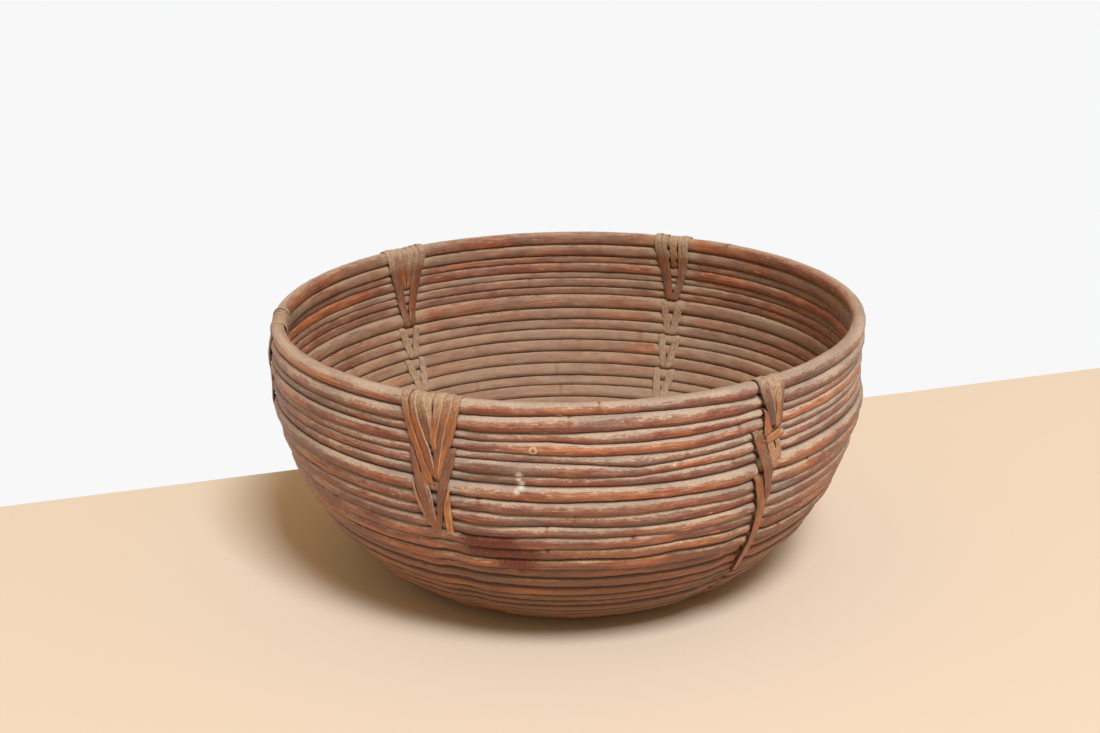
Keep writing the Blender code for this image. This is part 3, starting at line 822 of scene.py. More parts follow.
@dataclass
class StripMaker:
    """Lays strips on the wall in one column and gives them their body."""

    wall: Wall
    column: Column
    thickness: float = 1.0
    set_back: float = 0.35           # the canes give way by this under it
    lift_share: float = 0.62         # strips that lie on each other are pressed flat to this share
    edge_power: float = 0.62         # how square the section is at its edges
    crown_power: float = 0.85        # and on its face
    corners: int = 16
    step: float = 0.8
    fine_step: float = 0.25
    blur_reach: float = 1.0
    knot_step: float = 0.5
    ride: float = 0.45               # share of its thickness that lies between its middle and the crests
    cut_rows: int = 3                # rows that make room for the turn into the wall
    sink_rows: int = 6
    sink_back: float = 0.9           # how far before its end the turn into the wall begins
    sink_bend: float = 1.6           # above one, it turns late
    sink_depth: float = 1.1          # how deep it goes, as a share of its rise
    sink_narrow: float = 0.25        # share of its width that it loses there
    rim_rows: int = 16
    least_radius: float = 8.0        # nearer to the axis, across isn't turned into azimuths any more
    ridges: tuple[float, int, float] = (0.16, 5, 0.02)    # size, number, and how they turn along the strip
    waver: tuple[tuple[float, float], tuple[float, float]] = ((0.05, 0.23), (0.03, 0.71))  # width: size, rate
    free_end: tuple[float, float] = (0.8, 0.85)   # length over which a free end narrows, and to what share
    pale_end: float = 0.7            # length over which its cut shows
    top_dust: tuple[float, float] = (0.6, 14.0)    # more dust at the rim, and down to what arc

    def track(self, strip: Strip) -> np.ndarray:
        """Lead a strip along the wall.

        On a side of the wall the rise is the crest of the canes plus nearly half the thickness, the lift
        and the bow. Over the rim it is a half circle about the rim cane's centre. Where an end is sunk, the
        strip goes to the middle of the wall. All is smoothed with a bell curve.

        Args:
            strip: what to lay.

        Returns:
            Rows of (arc, rise, across, width) at even distances.
        """
        parts: list[np.ndarray] = []
        for run in strip.runs:
            knots = np.array(run.knots, float)
            way = way_along(knots[:, :2])
            along = np.linspace(0, way[-1], max(int(way[-1] / self.knot_step), 4))
            arc, across, width = (np.interp(along, way, column) for column in knots.T)
            rise = (self.wall.crest(arc) - self.set_back + self.thickness * self.ride + run.lift * self.lift_share
                    + run.bow * np.sin(np.pi * (along / way[-1])))
            rows = np.stack([arc, run.side.value * rise, across, width], 1)
            if parts:
                parts.append(self.over_rim(parts[-1][-1], rows[0]))
            else:
                rows = np.concatenate([self.sinking(rows[0], rows[1])[::-1], rows[self.cut_rows:]])
            if run is strip.runs[-1] and not strip.free:
                rows = np.concatenate([rows[:-self.cut_rows], self.sinking(rows[-1], rows[-2])])
            parts.append(rows)
        rows = np.concatenate(parts)
        rows[:, 0] = self.wall.follow(rows[:, 0], self.column.azimuth)
        return self.even(blur(self.even(rows, self.fine_step), self.blur_reach / self.fine_step), self.step)

    def sinking(self, last: np.ndarray, before: np.ndarray) -> np.ndarray:
        """Lead a strip's end into the wall: in a quarter turn from its last row to the middle of the wall.

        Args:
            last: the row where it leaves the face of the wall.
            before: the row before that.

        Returns:
            The rows into the wall.
        """
        share = np.linspace(0, 1, self.sink_rows)
        rows = np.repeat(last[None], self.sink_rows, 0)
        rows[:, 0] -= np.sign(last[0] - before[0]) * self.sink_back * (1 - share) ** 2
        rows[:, 1] *= 1 - share ** self.sink_bend * self.sink_depth
        rows[:, 3] *= 1 - self.sink_narrow * share
        return rows

    def over_rim(self, before: np.ndarray, after: np.ndarray) -> np.ndarray:
        """Lead a strip over the rim on a half circle, with its place across and width going over evenly.

        Args:
            before: the last row outside.
            after: the first row inside.

        Returns:
            The rows between them.
        """
        angle = np.linspace(0, np.pi, self.rim_rows)[1:-1]
        share = angle / np.pi
        rows = before * (1 - share[:, None]) + after * share[:, None]
        reach = abs(before[1]) * (1 - share) + abs(after[1]) * share
        rows[:, 0] -= reach * np.sin(angle)
        rows[:, 1] = math.copysign(1.0, before[1]) * reach * np.cos(angle)
        return rows

    @staticmethod
    def even(rows: np.ndarray, step: float) -> np.ndarray:
        """Sample rows at even distances along their (arc, rise, across) line.

        Args:
            rows: the rows.
            step: distance between samples.

        Returns:
            The new rows.
        """
        way = way_along(rows[:, :3])
        along = np.linspace(0, way[-1], max(int(way[-1] / step), 6))
        return np.stack([np.interp(along, way, column) for column in rows.T], 1)

    def shell(self, strip: Strip, chance: np.random.Generator) -> Shell:
        """Give a strip its body: a flat, crowned section square to its track.

        The section is a superellipse of half the width and half the thickness, with shallow ridges along
        the fibre. Its sideways direction is the direction across the column made square to the track, and
        its face is square to both.

        Args:
            strip: what to make.
            chance: random generator.

        Returns:
            The closed strip.
        """
        rows = self.track(strip)
        arc, rise, across, width = rows.T
        azimuth = self.column.azimuth + across / np.maximum(self.wall.radius_at(arc), self.least_radius)
        centre = self.wall.place(arc, rise, azimuth)
        ahead = unit(np.gradient(centre, axis=0))
        aside = np.stack([-np.sin(azimuth), np.cos(azimuth), np.zeros_like(azimuth)], -1)
        aside = unit(aside - ahead * np.sum(aside * ahead, 1)[:, None])
        face = np.cross(ahead, aside)
        turn = math.radians(strip.tilt)
        aside, face = aside * math.cos(turn) + face * math.sin(turn), face * math.cos(turn) - aside * math.sin(turn)
        corner, crown, flat = section(self.corners, self.crown_power, self.edge_power)
        along = np.arange(len(rows))[:, None] * self.step
        high, number, turning = self.ridges
        ridge = 1 + high * np.sin(corner * number + turning * along + chance.uniform(*PHASE))
        (slow, slow_rate), (quick, quick_rate) = self.waver
        waver = 1 + slow * np.sin(along * slow_rate + chance.uniform(*PHASE)) + quick * np.sin(along * quick_rate)
        to_end = along[-1] - along if strip.free else np.full_like(along, 9.0)
        taper = np.interp(to_end, [0, self.free_end[0]], [self.free_end[1], 1.0])
        half = width[:, None] / 2 * waver * taper * flat
        thick = self.thickness / 2 * ridge * crown * taper
        grid = centre[:, None] + aside[:, None] * half[..., None] + face[:, None] * thick[..., None]
        start = chance.uniform(0, 9, 3)
        dusty = strip.dusty + self.top_dust[0] * (1 - smooth_step(0.0, self.top_dust[1], arc))[:, None]
        return Shell.tube(grid, {
            "cane_place": (along * MM + start[0], half * MM + start[1], thick * MM + start[2]),
            "upward": face[:, 2:] * crown + aside[:, 2:] * flat * 0.3, "groove": flat,
            "cut_end": 1 - smooth_step(0.0, self.pale_end, to_end), "inside": smooth_step(-1.0, 2.0, -rise)[:, None],
            "stain": float(strip.rub), "tint": (strip.brown, dusty, strip.grey)})


@dataclass
class Lashing:
    """One column of lashing: the turns over the rim, and two ties of arms and stitches below them."""

    wall: Wall
    column: Column
    turns: list[Strip]
    first_tie: list[Strip]
    second_tie: list[Strip]

    def build(self, material: Any) -> None:
        """Make the column's three pieces.

        Args:
            material: the split cane's finish.
        """
        maker = StripMaker(self.wall, self.column)
        chance = np.random.default_rng(SEED + int(self.column.value))
        label = self.column.name.lower()
        for name, node, strips in (("_rim_turns", "_rim_lashing", self.turns),
                                   ("_left_tie", "_tie_1", self.first_tie),
                                   ("_right_tie", "_tie_2", self.second_tie)):
            shell = Shell.joined([maker.shell(strip, chance) for strip in strips])
            shell.piece(label + name, material, Slot.SPLIT_CANE, label + node)


@dataclass
class Binder:
    """Plans every column of lashing, from knots that follow the real one where it is seen."""

    wall: Wall
    stitch_width: float = 5.4
    stitch_spread: float = 5.9       # of the tops of a V, from its middle
    base_spread: float = 0.8         # share of that on the base
    stitch_tip: float = 1.7
    base_tiers: tuple[tuple[int, int], ...] = ((26, 28), (29, 31))
    arm_tip: int = 11                # course below which the arms on the outside come together
    fan_blend: float = 20.0          # arc over which a turn goes from its place on the rim to the seen one

    def rim_turn(self, outside: Knots, tip: tuple[int, float, float], lift: float, tilt: float, brown: float,
                 dusty: float, rub: int = 0, grey: float = 0.3, bulge: float = 0.0) -> Strip:
        """Plan one turn over the rim: up the outside along its knots, over, and down the inside to a tip.

        Args:
            outside: knots from the rim down.
            tip: course below which it goes into the wall on the inside, with its place across and width there.
            lift: how far it lies above the canes.
            tilt: degrees by which it lies on its neighbour.
            brown: its shade.
            dusty: how dusty it is.
            rub: which edge is rubbed pale.
            grey: how weathered it is.
            bulge: how far the inside run bows sideways half way.

        Returns:
            The strip, from its tip on the outside to its tip on the inside.
        """
        _, across, width = outside[0]
        arc = self.wall.below(tip[0])
        inside = tuple((arc * share, across + (tip[1] - across) * share + bulge * math.sin(math.pi * share),
                        width + (tip[2] - width) * share) for share in (0.0, 0.25, 0.5, 0.75, 1.0))
        return Strip((Run(Side.OUTSIDE, outside[::-1], lift), Run(Side.INSIDE, inside, lift)), tilt, brown, dusty,
                     rub, grey)

    def stitches(self, tips: tuple[int, ...], side: int) -> list[Strip]:
        """Plan one side of the chain of Vs on the inside, down the wall and on over the base.

        Args:
            tips: courses below which the Vs end, the first of them the tip of the rim's turns.
            side: -1 for the side of smaller azimuths, 1 for the other.

        Returns:
            One strip for each V.
        """
        strips = []
        for number, (top, tip) in enumerate([*zip(tips, tips[1:]), *self.base_tiers]):
            high, low = self.wall.below(top), self.wall.below(tip)
            spread = self.stitch_spread * (1 if high < self.wall.foot_arc else self.base_spread)
            knots = tuple((high + share * (low - high), side * out, self.stitch_width * wide)
                          for share, out, wide in ((0, spread, 0.8), (0.35, spread * 0.78, 1),
                                                   (0.7, spread * 0.48, 1), (1, self.stitch_tip, 0.75)))
            strips.append(Strip((Run(Side.INSIDE, knots, 0.25 if side > 0 else 0.0),), side * 4.0,
                                0.4 + 0.1 * (number % 2), 1.05, grey=0.1))
        return strips

    def front_left_turns(self) -> list[Strip]:
        """Plan the seven turns of the fan at the front left.

        Returns:
            The turns, those beneath first.
        """
        return [self.rim_turn(*turn) for turn in (
            (((0, -2.4, 3.8), (5, -1.9, 2.6), (12, -1.5, 1.1), (15, -1.5, 1.0)),
             (4, 0.2, 2.4), 0.0, 0, 0.1, 0.9),
            (((0, -7.2, 5.9), (7.5, -5.8, 6.8), (12.8, -4.7, 6.6), (17, -4.2, 4.6), (20, -3.6, 2.6), (24, -2.8, 2.0)),
             (4, -1.8, 3.4), 0.15, -3, 0.75, 0.5, 1, 0.8),
            (((0, 12.6, 5.0), (5, 11.2, 5.4), (12.5, 9.1, 5.5), (16, 7.6, 6.0), (20, 6.5, 6.0), (26.7, 4.7, 5.6),
              (33, 2.4, 4.6), (42, 0.8, 3.6)),
             (7, 3.4, 4.2), 0.5, -2, 0.3, 0.25, 0, 0.1),
            (((0, 8.2, 4.8), (5, 6.7, 4.6), (12.3, 4.3, 4.9), (16, 3.2, 4.9), (25, 1.6, 4.4), (32, 0.8, 3.8),
              (40, 0.2, 3.0)),
             (7, 1.2, 4.2), 0.95, -4, 0.5, 0.35, 1),
            (((0, 3.2, 6.0), (4.5, 2.4, 5.0), (12, 0.6, 3.8), (18, -0.7, 3.4), (22, -0.5, 2.6), (26, 0.2, 2.0)),
             (4, 1.8, 3.4), 1.3, -5, 0.2, 0.4, 1, 0.1),
            (((0, -11.5, 4.2), (8.7, -10.6, 4.4), (17, -8.2, 5.0), (24, -6.0, 5.6), (31, -4.2, 5.2), (35, -2.8, 4.0),
              (41, -0.6, 3.2)),
             (7, -1.2, 4.2), 0.7, -4, 0.45, 0.4, 1),
            (((0, -15.8, 5.0), (9.5, -14.4, 4.4), (17, -12.6, 4.6), (25, -10.4, 4.4), (33, -7.6, 4.6),
              (36, -6.1, 5.0), (43, -3.0, 4.7), (45, -2.0, 4.2)),
             (7, -3.2, 4.2), 1.2, -5, 0.3, 0.3, 0, 0.1))]

    def front_left_arms(self) -> tuple[list[Strip], list[Strip]]:
        """Plan the two arms below the fan at the front left, which come together at their tip.

        Returns:
            The strips of the arm on the left, and of the one on the right.
        """
        tip = self.wall.below(self.arm_tip)
        left = [
            lying(((37, -8.2, 1.4), (44.5, -5.9, 3.4), (50.5, -4.7, 3.4), (60, -4.6, 3.0), (66, -3.4, 2.8),
                   (tip, -1.8, 2.4)), 0.2, brown=0.5, dusty=0.85, grey=0.8, rub=1),
            lying(((25, -13.9, 1.8), (32, -12.5, 3.4), (36.7, -11.0, 4.0), (44.5, -9.1, 5.0), (51, -7.8, 5.0),
                   (60.8, -6.8, 4.4), (66, -5.4, 4.2), (70, -4.2, 4.0), (tip, -3.0, 3.4)), 0.7,
                  tilt=-3, brown=0.55, dusty=0.5, grey=0.5),
            lying(((44.5, -12.9, 0.8), (48, -12.7, 1.8), (53.5, -11.9, 2.2), (58, -10.6, 2.6), (62.5, -9.4, 2.2),
                   (65.6, -8.4, 1.2)), 0.1, brown=0.0, dusty=0.9)]
        right = [
            lying(((46.5, 6.8, 1.4), (51, 5.8, 3.0), (56, 5.0, 4.0), (62, 4.4, 4.8), (68, 4.3, 4.8),
                   (72.8, 4.2, 4.4)), 0.2, free=True, brown=0.0, dusty=0.4, grey=0.0),
            lying(((24, 10.0, 3.6), (28, 8.9, 5.2), (32, 7.8, 5.6), (39.2, 5.3, 5.4), (47, 3.6, 5.0), (53, 2.0, 4.2),
                   (60, 0.3, 3.4), (66, -0.8, 3.2), (71.4, -1.9, 2.8), (tip, -2.2, 2.4)), 0.9,
                  tilt=3, brown=0.6, dusty=0.5, grey=0.4)]
        return left, right

    def front_left(self) -> Lashing:
        """Plan the lashing at the front left, the widest seen."""
        (left, right), tips = self.front_left_arms(), (7, 10, 13, 16, 19, 22, 25)
        return Lashing(self.wall, Column.FRONT_LEFT, self.front_left_turns(), left + self.stitches(tips, -1),
                       right + self.stitches(tips, 1))

    def front_right(self) -> Lashing:
        """Plan the narrow lashing over the seam, with the bits tied over three courses and the long tail.

        Returns:
            The lashing.
        """
        turns = [self.rim_turn(*turn) for turn in (
            (((0, 2.3, 4.2), (7, 3.6, 3.2), (12, 4.7, 1.4), (16, 5.2, 1.0)), (5, -0.8, 3.0), 0.1, 0, 0.3, 0.5, 1),
            (((0, 9.0, 3.6), (8, 9.2, 3.0), (17, 9.4, 2.6), (25, 9.2, 2.6)),
             (5, 3.8, 3.6), 0.2, -3, 0.6, 0.3, 0, 0.9),
            (((0, 5.9, 3.8), (8, 6.7, 3.6), (16.5, 7.4, 3.2), (25, 6.9, 3.0)),
             (5, 1.0, 3.4), 0.6, -3, 0.1, 0.65, 1, 0.5),
            (((0, -3.3, 7.0), (7, -0.5, 5.8), (14.6, 2.6, 4.6), (18.2, 3.6, 4.6), (23.4, 3.7, 3.2)),
             (5, -2.6, 4.6), 0.9, -4, 0.9, 0.3, 1, 0.9))]
        bits = [
            lying(((12, -1.6, 1.4), (15, -1.0, 2.6), (21, 0.4, 5.0), (28, 0.8, 5.4), (31, 0.8, 4.4)), 0.1,
                  brown=0.3, dusty=0.7),
            lying(((32.0, 7.4, 3.2), (36, 8.2, 4.2), (40, 8.2, 4.4), (44.5, 7.6, 3.2)), 0.1, brown=0.3, dusty=1.0),
            lying(((31, 1.5, 4.2), (36, 2.8, 5.0), (40, 4.0, 5.6), (44, 4.9, 5.2), (48.5, 5.2, 2.6)), 0.4,
                  brown=0.25, dusty=1.0, grey=0.2),
            lying(((31.6, -2.8, 3.8), (31.0, -1.2, 4.6), (29.3, 3.9, 4.8), (27.4, 9.0, 4.6), (26.9, 10.4, 4.0)), 1.3,
                  brown=0.25, dusty=0.75, grey=0.1),
            lying(((24.4, -6.8, 5.8), (27, -6.2, 6.9), (30, -5.2, 6.8), (39, -2.7, 6.4), (48, 0.4, 6.0),
                   (57, 2.5, 5.0), (62, 3.6, 3.8), (65.6, 4.1, 2.4)), 0.9, tilt=3, brown=0.6, dusty=0.6, grey=0.6)]
        tail = [
            lying(((50.0, -6.0, 4.2), (54, -4.2, 5.2), (59.7, -1.7, 5.9), (68.6, 0.9, 5.8), (77, 2.2, 6.2),
                   (86, 3.0, 6.0), (92, 3.2, 5.2), (97.5, 3.6, 5.0), (104, 3.8, 4.8), (110, 3.7, 4.4),
                   (116, 4.2, 3.4), (121.9, 4.8, 2.4)), 0.3, tilt=-4, brown=0.35, dusty=0.35)]
        tips = (5, 8, 11, 14, 17, 20, 23)
        return Lashing(self.wall, Column.FRONT_RIGHT, turns, bits + self.stitches(tips, -1),
                       tail + self.stitches(tips, 1))

    def inner_fan(self, spread: tuple[float, ...], tip_course: int, outer: list[Strip],
                  swell: tuple[float, float], press: float) -> list[Strip]:
        """Plan a fan that is seen from the inside, with the outside runs of another fan.

        Args:
            spread: place of each turn across, on the rim.
            tip_course: course below which the outer turns come together.
            outer: turns whose outside runs are taken over, one for each place.
            swell: how far the outer turns bow outwards half way, on the side of smaller and larger azimuths.
            press: how much closer to the wall the outside runs lie.

        Returns:
            The turns, the middle one first.
        """
        turns = []
        widest = max(abs(place) for place in spread)
        for number, (place, strip) in enumerate(sorted(zip(spread, outer), key=lambda pair: abs(pair[0]))):
            side = math.copysign(1.0, place)
            share = abs(place) / widest
            seen = strip.runs[0].knots[::-1]
            shift = place - seen[0][1]
            knots = tuple((arc, across + shift * max(0.0, 1 - arc / self.fan_blend), width)
                          for arc, across, width in seen)
            if share > 0.5:
                tip, bulge = (tip_course, side * (1.0 + 2.6 * (share - 0.5)), 3.6), side * swell[int(side > 0)]
            else:
                tip, bulge = (4 if number else 3, side * (0.6 + 1.8 * share), 2.8), 0.0
            turn = self.rim_turn(knots, tip, 0.1 + 1.2 * share, side * 7 * share, 0.3 + 0.3 * share,
                                 0.5 + 0.2 * (number % 2), bulge=bulge)
            outside = replace(turn.runs[0], bow=strip.runs[0].bow, lift=turn.runs[0].lift - press)
            turns.append(replace(turn, runs=(outside, turn.runs[1])))
        return turns

    def long_turn(self, strip: Strip, side: int, bow: float) -> Strip:
        """Lead the outside run of a turn on down to the arms' tip, slack half way, as at the left.

        Args:
            strip: the outermost turn.
            side: -1 for the side of smaller azimuths, 1 for the other.
            bow: how far it stands off half way.

        Returns:
            The longer turn, whose knots lean towards the front.
        """
        knots = tuple((arc, lean + side * out, width) for arc, lean, out, width in (
            (self.wall.below(self.arm_tip), 12.0, 2.1, 3.8), (66, 10.5, 2.4, 4.6), (52, 8.0, 3.0, 5.4),
            (38, 5.2, 4.6, 6.0), (26, 3.2, 7.6, 6.0), (14, 1.3, 10.8, 5.6)))
        outside = Run(Side.OUTSIDE, (*knots, strip.runs[0].knots[-1]), bow=bow)
        return replace(strip, runs=(outside, strip.runs[1]))

    def seen_from_inside(self, column: Column, spread: tuple[float, ...], tips: tuple[int, ...],
                         flip: bool = False, bow: float = 0.0, swell: tuple[float, float] = (-0.8, -0.8),
                         press: float = 0.0) -> Lashing:
        """Plan a column at the back or the left.

        Args:
            column: which one.
            spread: places of the turns on the rim.
            tips: courses below which the Vs on the inside end.
            flip: whether the outside is that of the front left turned left for right.
            bow: how far the outermost turns stand off half way, where they run on in place of the arms.
            swell: how far the outer turns on the inside bow outwards half way.
            press: how much closer to the wall the turns lie on the outside.

        Returns:
            The lashing.
        """
        outer = sorted(self.front_left_turns(), key=lambda strip: strip.runs[0].knots[-1][1])
        left, right = self.front_left_arms()
        if flip:
            outer = [mirrored(strip) for strip in reversed(outer)]
            left, right = [mirrored(strip) for strip in right], [mirrored(strip) for strip in left]
        if bow:
            left, right = [], []
            outer[0], outer[-1] = self.long_turn(outer[0], -1, bow), self.long_turn(outer[-1], 1, bow)
        outer = outer[:3] + outer[3 + len(outer) - len(spread):]
        return Lashing(self.wall, column, self.inner_fan(spread, tips[0], outer, swell, press),
                       left + self.stitches(tips, -1), right + self.stitches(tips, 1))

    def build(self, material: Any) -> None:
        """Make all five columns.

        Args:
            material: the split cane's finish.
        """
        tips = (7, 10, 13, 16, 19, 22, 25)
        for lashing in (
                self.front_left(), self.front_right(),
                self.seen_from_inside(Column.BACK_RIGHT, (-9.6, -6.4, -0.6, 6.4, 10.8), tips, swell=(2.6, -0.6)),
                self.seen_from_inside(Column.BACK_LEFT, (-13.4, -9.0, -4.4, 0.2, 4.6, 9.0, 13.2),
                                      (8, 11, 14, 17, 20, 23), flip=True),
                self.seen_from_inside(Column.LEFT, (-13.6, -9.0, -4.6, 0.0, 4.4, 8.8, 13.2), tips, bow=0.2,
                                      press=1.4)):
            lashing.build(material)


# Finishes


class Painter:
    """Adds the nodes that both finishes are made of to one material."""

    def __init__(self, name: str) -> None:
        """Make an empty material with the given name."""
        self.material = bpy.data.materials.new(name)
        self.tree = new_tree(self.material)
        self.place = self.read("cane_place", "Vector")

    def read(self, name: str, socket: str = "Fac") -> Any:
        """Read a vertex attribute."""
        return add_node(self.tree, "ShaderNodeAttribute", attribute_name=name).outputs[socket]

    def parts(self, name: str) -> Any:
        """Read the three parts of a vector attribute."""
        return add_node(self.tree, "ShaderNodeSeparateXYZ", {0: self.read(name, "Vector")}).outputs

    def noise(self, scale: tuple[float, float, float], detail: float, roughness: float, shift: float = 0.0) -> Any:
        """Stretch a noise along the straightened cane, with its scale in cycles for each metre."""
        vector = add_node(self.tree, "ShaderNodeMapping", {"Vector": self.place, "Scale": scale,
                                                           "Location": (shift, shift, shift)})
        return add_node(self.tree, "ShaderNodeTexNoise", {"Vector": vector, "Scale": 1.0, "Detail": detail,
                                                          "Roughness": roughness})

    def sum_of(self, operation: str, *values: Any) -> Any:
        """Work out one sum: a Math node's operation on its inputs."""
        return add_node(self.tree, "ShaderNodeMath", dict(enumerate(values)), operation=operation)

    def total(self, *terms: tuple[Any, float]) -> Any:
        """Add up sockets, each times its weight.

        Args:
            terms: pairs of a socket and its weight.

        Returns:
            The last node.
        """
        result: Any = 0.0
        for socket, weight in terms:
            result = self.sum_of("MULTIPLY_ADD", socket, weight, result)
        return result

    def larger(self, first: Any, second: Any) -> Any:
        """Take the larger of two values."""
        return self.sum_of("MAXIMUM", first, second)

    def product(self, first: Any, second: Any) -> Any:
        """Multiply two values."""
        return self.sum_of("MULTIPLY", first, second)

    def step(self, value: Any, low: float, high: float, bottom: float, top: float) -> Any:
        """Go smoothly from bottom to top as the value goes from low to high."""
        return add_node(self.tree, "ShaderNodeMapRange", {"Value": value, "From Min": low, "From Max": high,
                                                          "To Min": bottom, "To Max": top},
                        interpolation_type="SMOOTHSTEP").outputs[0]

    def mix(self, share: Any, below: Any, above: Any, blend: str = "MIX") -> Any:
        """Lay one colour over another."""
        return add_node(self.tree, "ShaderNodeMix", {0: share, 6: below, 7: above}, data_type="RGBA",
                        blend_type=blend).outputs[2]

    def ramp(self, value: Any, *stops: tuple[float, str]) -> Any:
        """Run a value through a colour ramp of (place, hex colour) stops."""
        return add_node(self.tree, "ShaderNodeValToRGB", {0: value},
                        ramp=[(place, linear(code)) for place, code in stops]).outputs[0]

    def finish(self, colour: Any, rough: Any, height: Any, strength: float, distance: float) -> Any:
        """Close the tree with a Principled shader and give the material.

        Args:
            colour: base colour.
            rough: roughness.
            height: relief.
            strength: share of the relief that is used.
            distance: metres that a height of one stands for.

        Returns:
            The material.
        """
        bump = add_node(self.tree, "ShaderNodeBump", {"Height": height, "Strength": strength, "Distance": distance})
        shader = add_node(self.tree, "ShaderNodeBsdfPrincipled", {
            "Base Color": colour, "Roughness": rough, "Normal": bump, "IOR": 1.45})
        add_node(self.tree, "ShaderNodeOutputMaterial", {"Surface": shader})
        return self.material


@dataclass(frozen=True)
class RattanBark:
    """Rattan cane with its bark on, smoked brown by age, handled, dusty on top, with dirt and painted shade in the
    grooves.
    """

    name: str = "rattan_bark_aged"
    grey: str = "#7A6658"
    plum: str = "#704739"
    red: str = "#823C2A"
    russet: str = "#954D2D"
    worn: str = "#B36431"
    chip: str = "#DDA468"
    dust: str = "#C8B8A7"
    dust_grey: str = "#B0A093"
    dust_inside: str = "#B59E86"
    # dark brown of dirt and painted shade in the grooves
    dirt: str = "#341806"
    shade: str = "#CFB462"
    caked: str = "#5E2414"
    chalk: str = "#E9E2DA"
    fibre: str = "#C9A079"
    dust_level: float = 1.0
    # Chalky marks: degrees, arc, radius, and width of the ring or 0 for a spot
    marks: tuple[tuple[float, float, float, float], ...] = (
        (263.3, 20.8, 1.7, 0.55), (260.8, 35.0, 2.6, 0.0), (260.7, 37.4, 2.0, 0.0), (261.1, 40.6, 3.0, 0.0),
        (260.4, 43.6, 2.2, 0.0), (287.5, 33.0, 1.4, 0.0))
    mark_rise: float = 3.4

    def material(self, wall: Wall) -> Any:
        """Build the node tree.

        The bark goes from grey over plum, red and russet to orange in patches 45 mm long and as high as the
        cane, with fine streaks 20 mm by 1 mm and a grain of 2 mm by 0.8 mm along it. Small chips show the
        pale cane beneath. Dust lies on the upper part of each cane with a streaky edge, and with a painted
        highlight along its top edge. A thin film covers the rest, which is thickest on the belly, and dirt
        with painted shade fills the grooves. Each cane is painted darker towards the groove below it, and the
        belly is painted darker and browner, shade and dirt together.

        Args:
            wall: the wall that the marks lie on.

        Returns:
            The material.
        """
        paint = Painter(self.name)
        read, noise, total, step, mix = paint.read, paint.noise, paint.total, paint.step, paint.mix
        upward, groove, cut, stain, inside = map(read, ("upward", "groove", "cut_end", "stain", "inside"))
        tinted, dusty, dark = paint.parts("tint")
        patch = noise((22, 75, 75), 4.0, 0.6)
        streak = noise((50, 1000, 1000), 3.0, 0.6, 2.0)
        fine = noise((30, 480, 480), 3.0, 0.6, 9.0)
        grain = noise((480, 1200, 1200), 2.0, 0.6, 4.0)
        wear = noise((85, 520, 520), 3.0, 0.6, 6.0)
        cloud = noise((30, 120, 120), 4.0, 0.65, 8.0)
        blot = noise((120, 260, 260), 4.0, 0.65, 11.0)

        tone = total((patch, 0.6), (streak, 0.14), (blot, 0.14), (tinted, 0.17))
        colour = paint.ramp(tone, (0.36, self.grey), (0.43, self.plum), (0.52, self.red), (0.58, self.russet),
                            (0.67, self.worn))
        colour = mix(1.0, colour, step(streak, 0.28, 0.72, 0.6, 1.34), "MULTIPLY")
        colour = mix(step(total((wear, 1.0), (tinted, 0.07)), 0.69, 0.74, 0.0, 0.9), colour, linear(self.chip))
        # Dust: nearly opaque on top of each cane, streaky and thin half way down, and a film all over
        # one less the belly's painted shade and dirt
        unshaded_and_clean = total((dark, -1.0), (1.0, 1.0))
        # Dust, and a painted highlight, along the top edge of each cane just under the groove
        ledge_dust_and_highlight = paint.product(step(groove, -0.35, -0.8, 0.0, 1.0), unshaded_and_clean)
        dusting = total((upward, 0.8), (ledge_dust_and_highlight, 0.5), (fine, 0.8), (streak, 0.6), (cloud, 1.7), (blot, 1.4),
                        (grain, 0.7), (dusty, 0.7), (unshaded_and_clean, 0.5))
        thin = step(dusting, 3.1, 4.2, 0.0, 0.44 * self.dust_level)
        thick = step(dusting, 3.9, 4.15, 0.0, 0.86 * self.dust_level)
        film = total((paint.product(step(cloud, 0.3, 0.7, 0.0, 0.2), unshaded_and_clean), 1.0), (dark, 0.26))
        settled = paint.product(step(total((dusty, 1.0), (cloud, 1.6), (blot, 0.9), (streak, 0.5)), 1.1, 2.8, 0.1,
                                     0.9), inside)
        dust = mix(step(patch, 0.4, 0.6, 0.0, 1.0), linear(self.dust_grey), linear(self.dust))
        dust = mix(1.0, dust, step(grain, 0.3, 0.7, 0.86, 1.12), "MULTIPLY")
        dust = mix(inside, dust, linear(self.dust_inside))
        cover = paint.larger(settled, paint.larger(film, paint.larger(thin, thick)))
        colour = mix(cover, colour, dust)
        # Painted shade: each cane is darker towards the groove below it, and a little lighter at its top
        colour = mix(1.0, colour, step(total((groove, 1.0), (fine, 0.6), (inside, -0.3)), 0.2, 1.25, 1.06, 0.5),
                     "MULTIPLY")
        # Painted shade and dirt: the belly is darker and browner, warmed as by light thrown up from the floor
        colour = mix(dark, colour, linear(self.shade), "MULTIPLY")
        # Dirt and painted shade in the grooves, more below than above, wider on the belly, and less inside the bowl
        below = step(total((groove, 1.0), (streak, 0.2)), 0.86, 1.04, 0.0, 0.92)
        above = step(total((groove, 1.0), (dark, -0.42)), -0.88, -0.99, 0.0, 0.72)
        gather = total((inside, -0.5), (1.0, 1.0))
        colour = mix(paint.product(paint.larger(below, above), gather), colour, linear(self.dirt))
        caked = step(total((grain, 1.3), (stain, 1.0)), 1.05, 1.25, 0.0, 0.9)
        colour = mix(caked, colour, mix(step(grain, 0.56, 0.68, 0.0, 1.0), linear(self.caked), linear(self.russet)))
        colour = mix(self.marked(paint, wall, grain), colour, linear(self.chalk))
        colour = mix(cut, colour, linear(self.fibre))
        # Bark is satin where it is handled and dull under dust
        return paint.finish(colour, step(cover, 0.0, 1.0, 0.44, 0.85),
                            total((grain, 0.5), (streak, 1.0), (fine, 0.6)), 0.7, 0.0005)

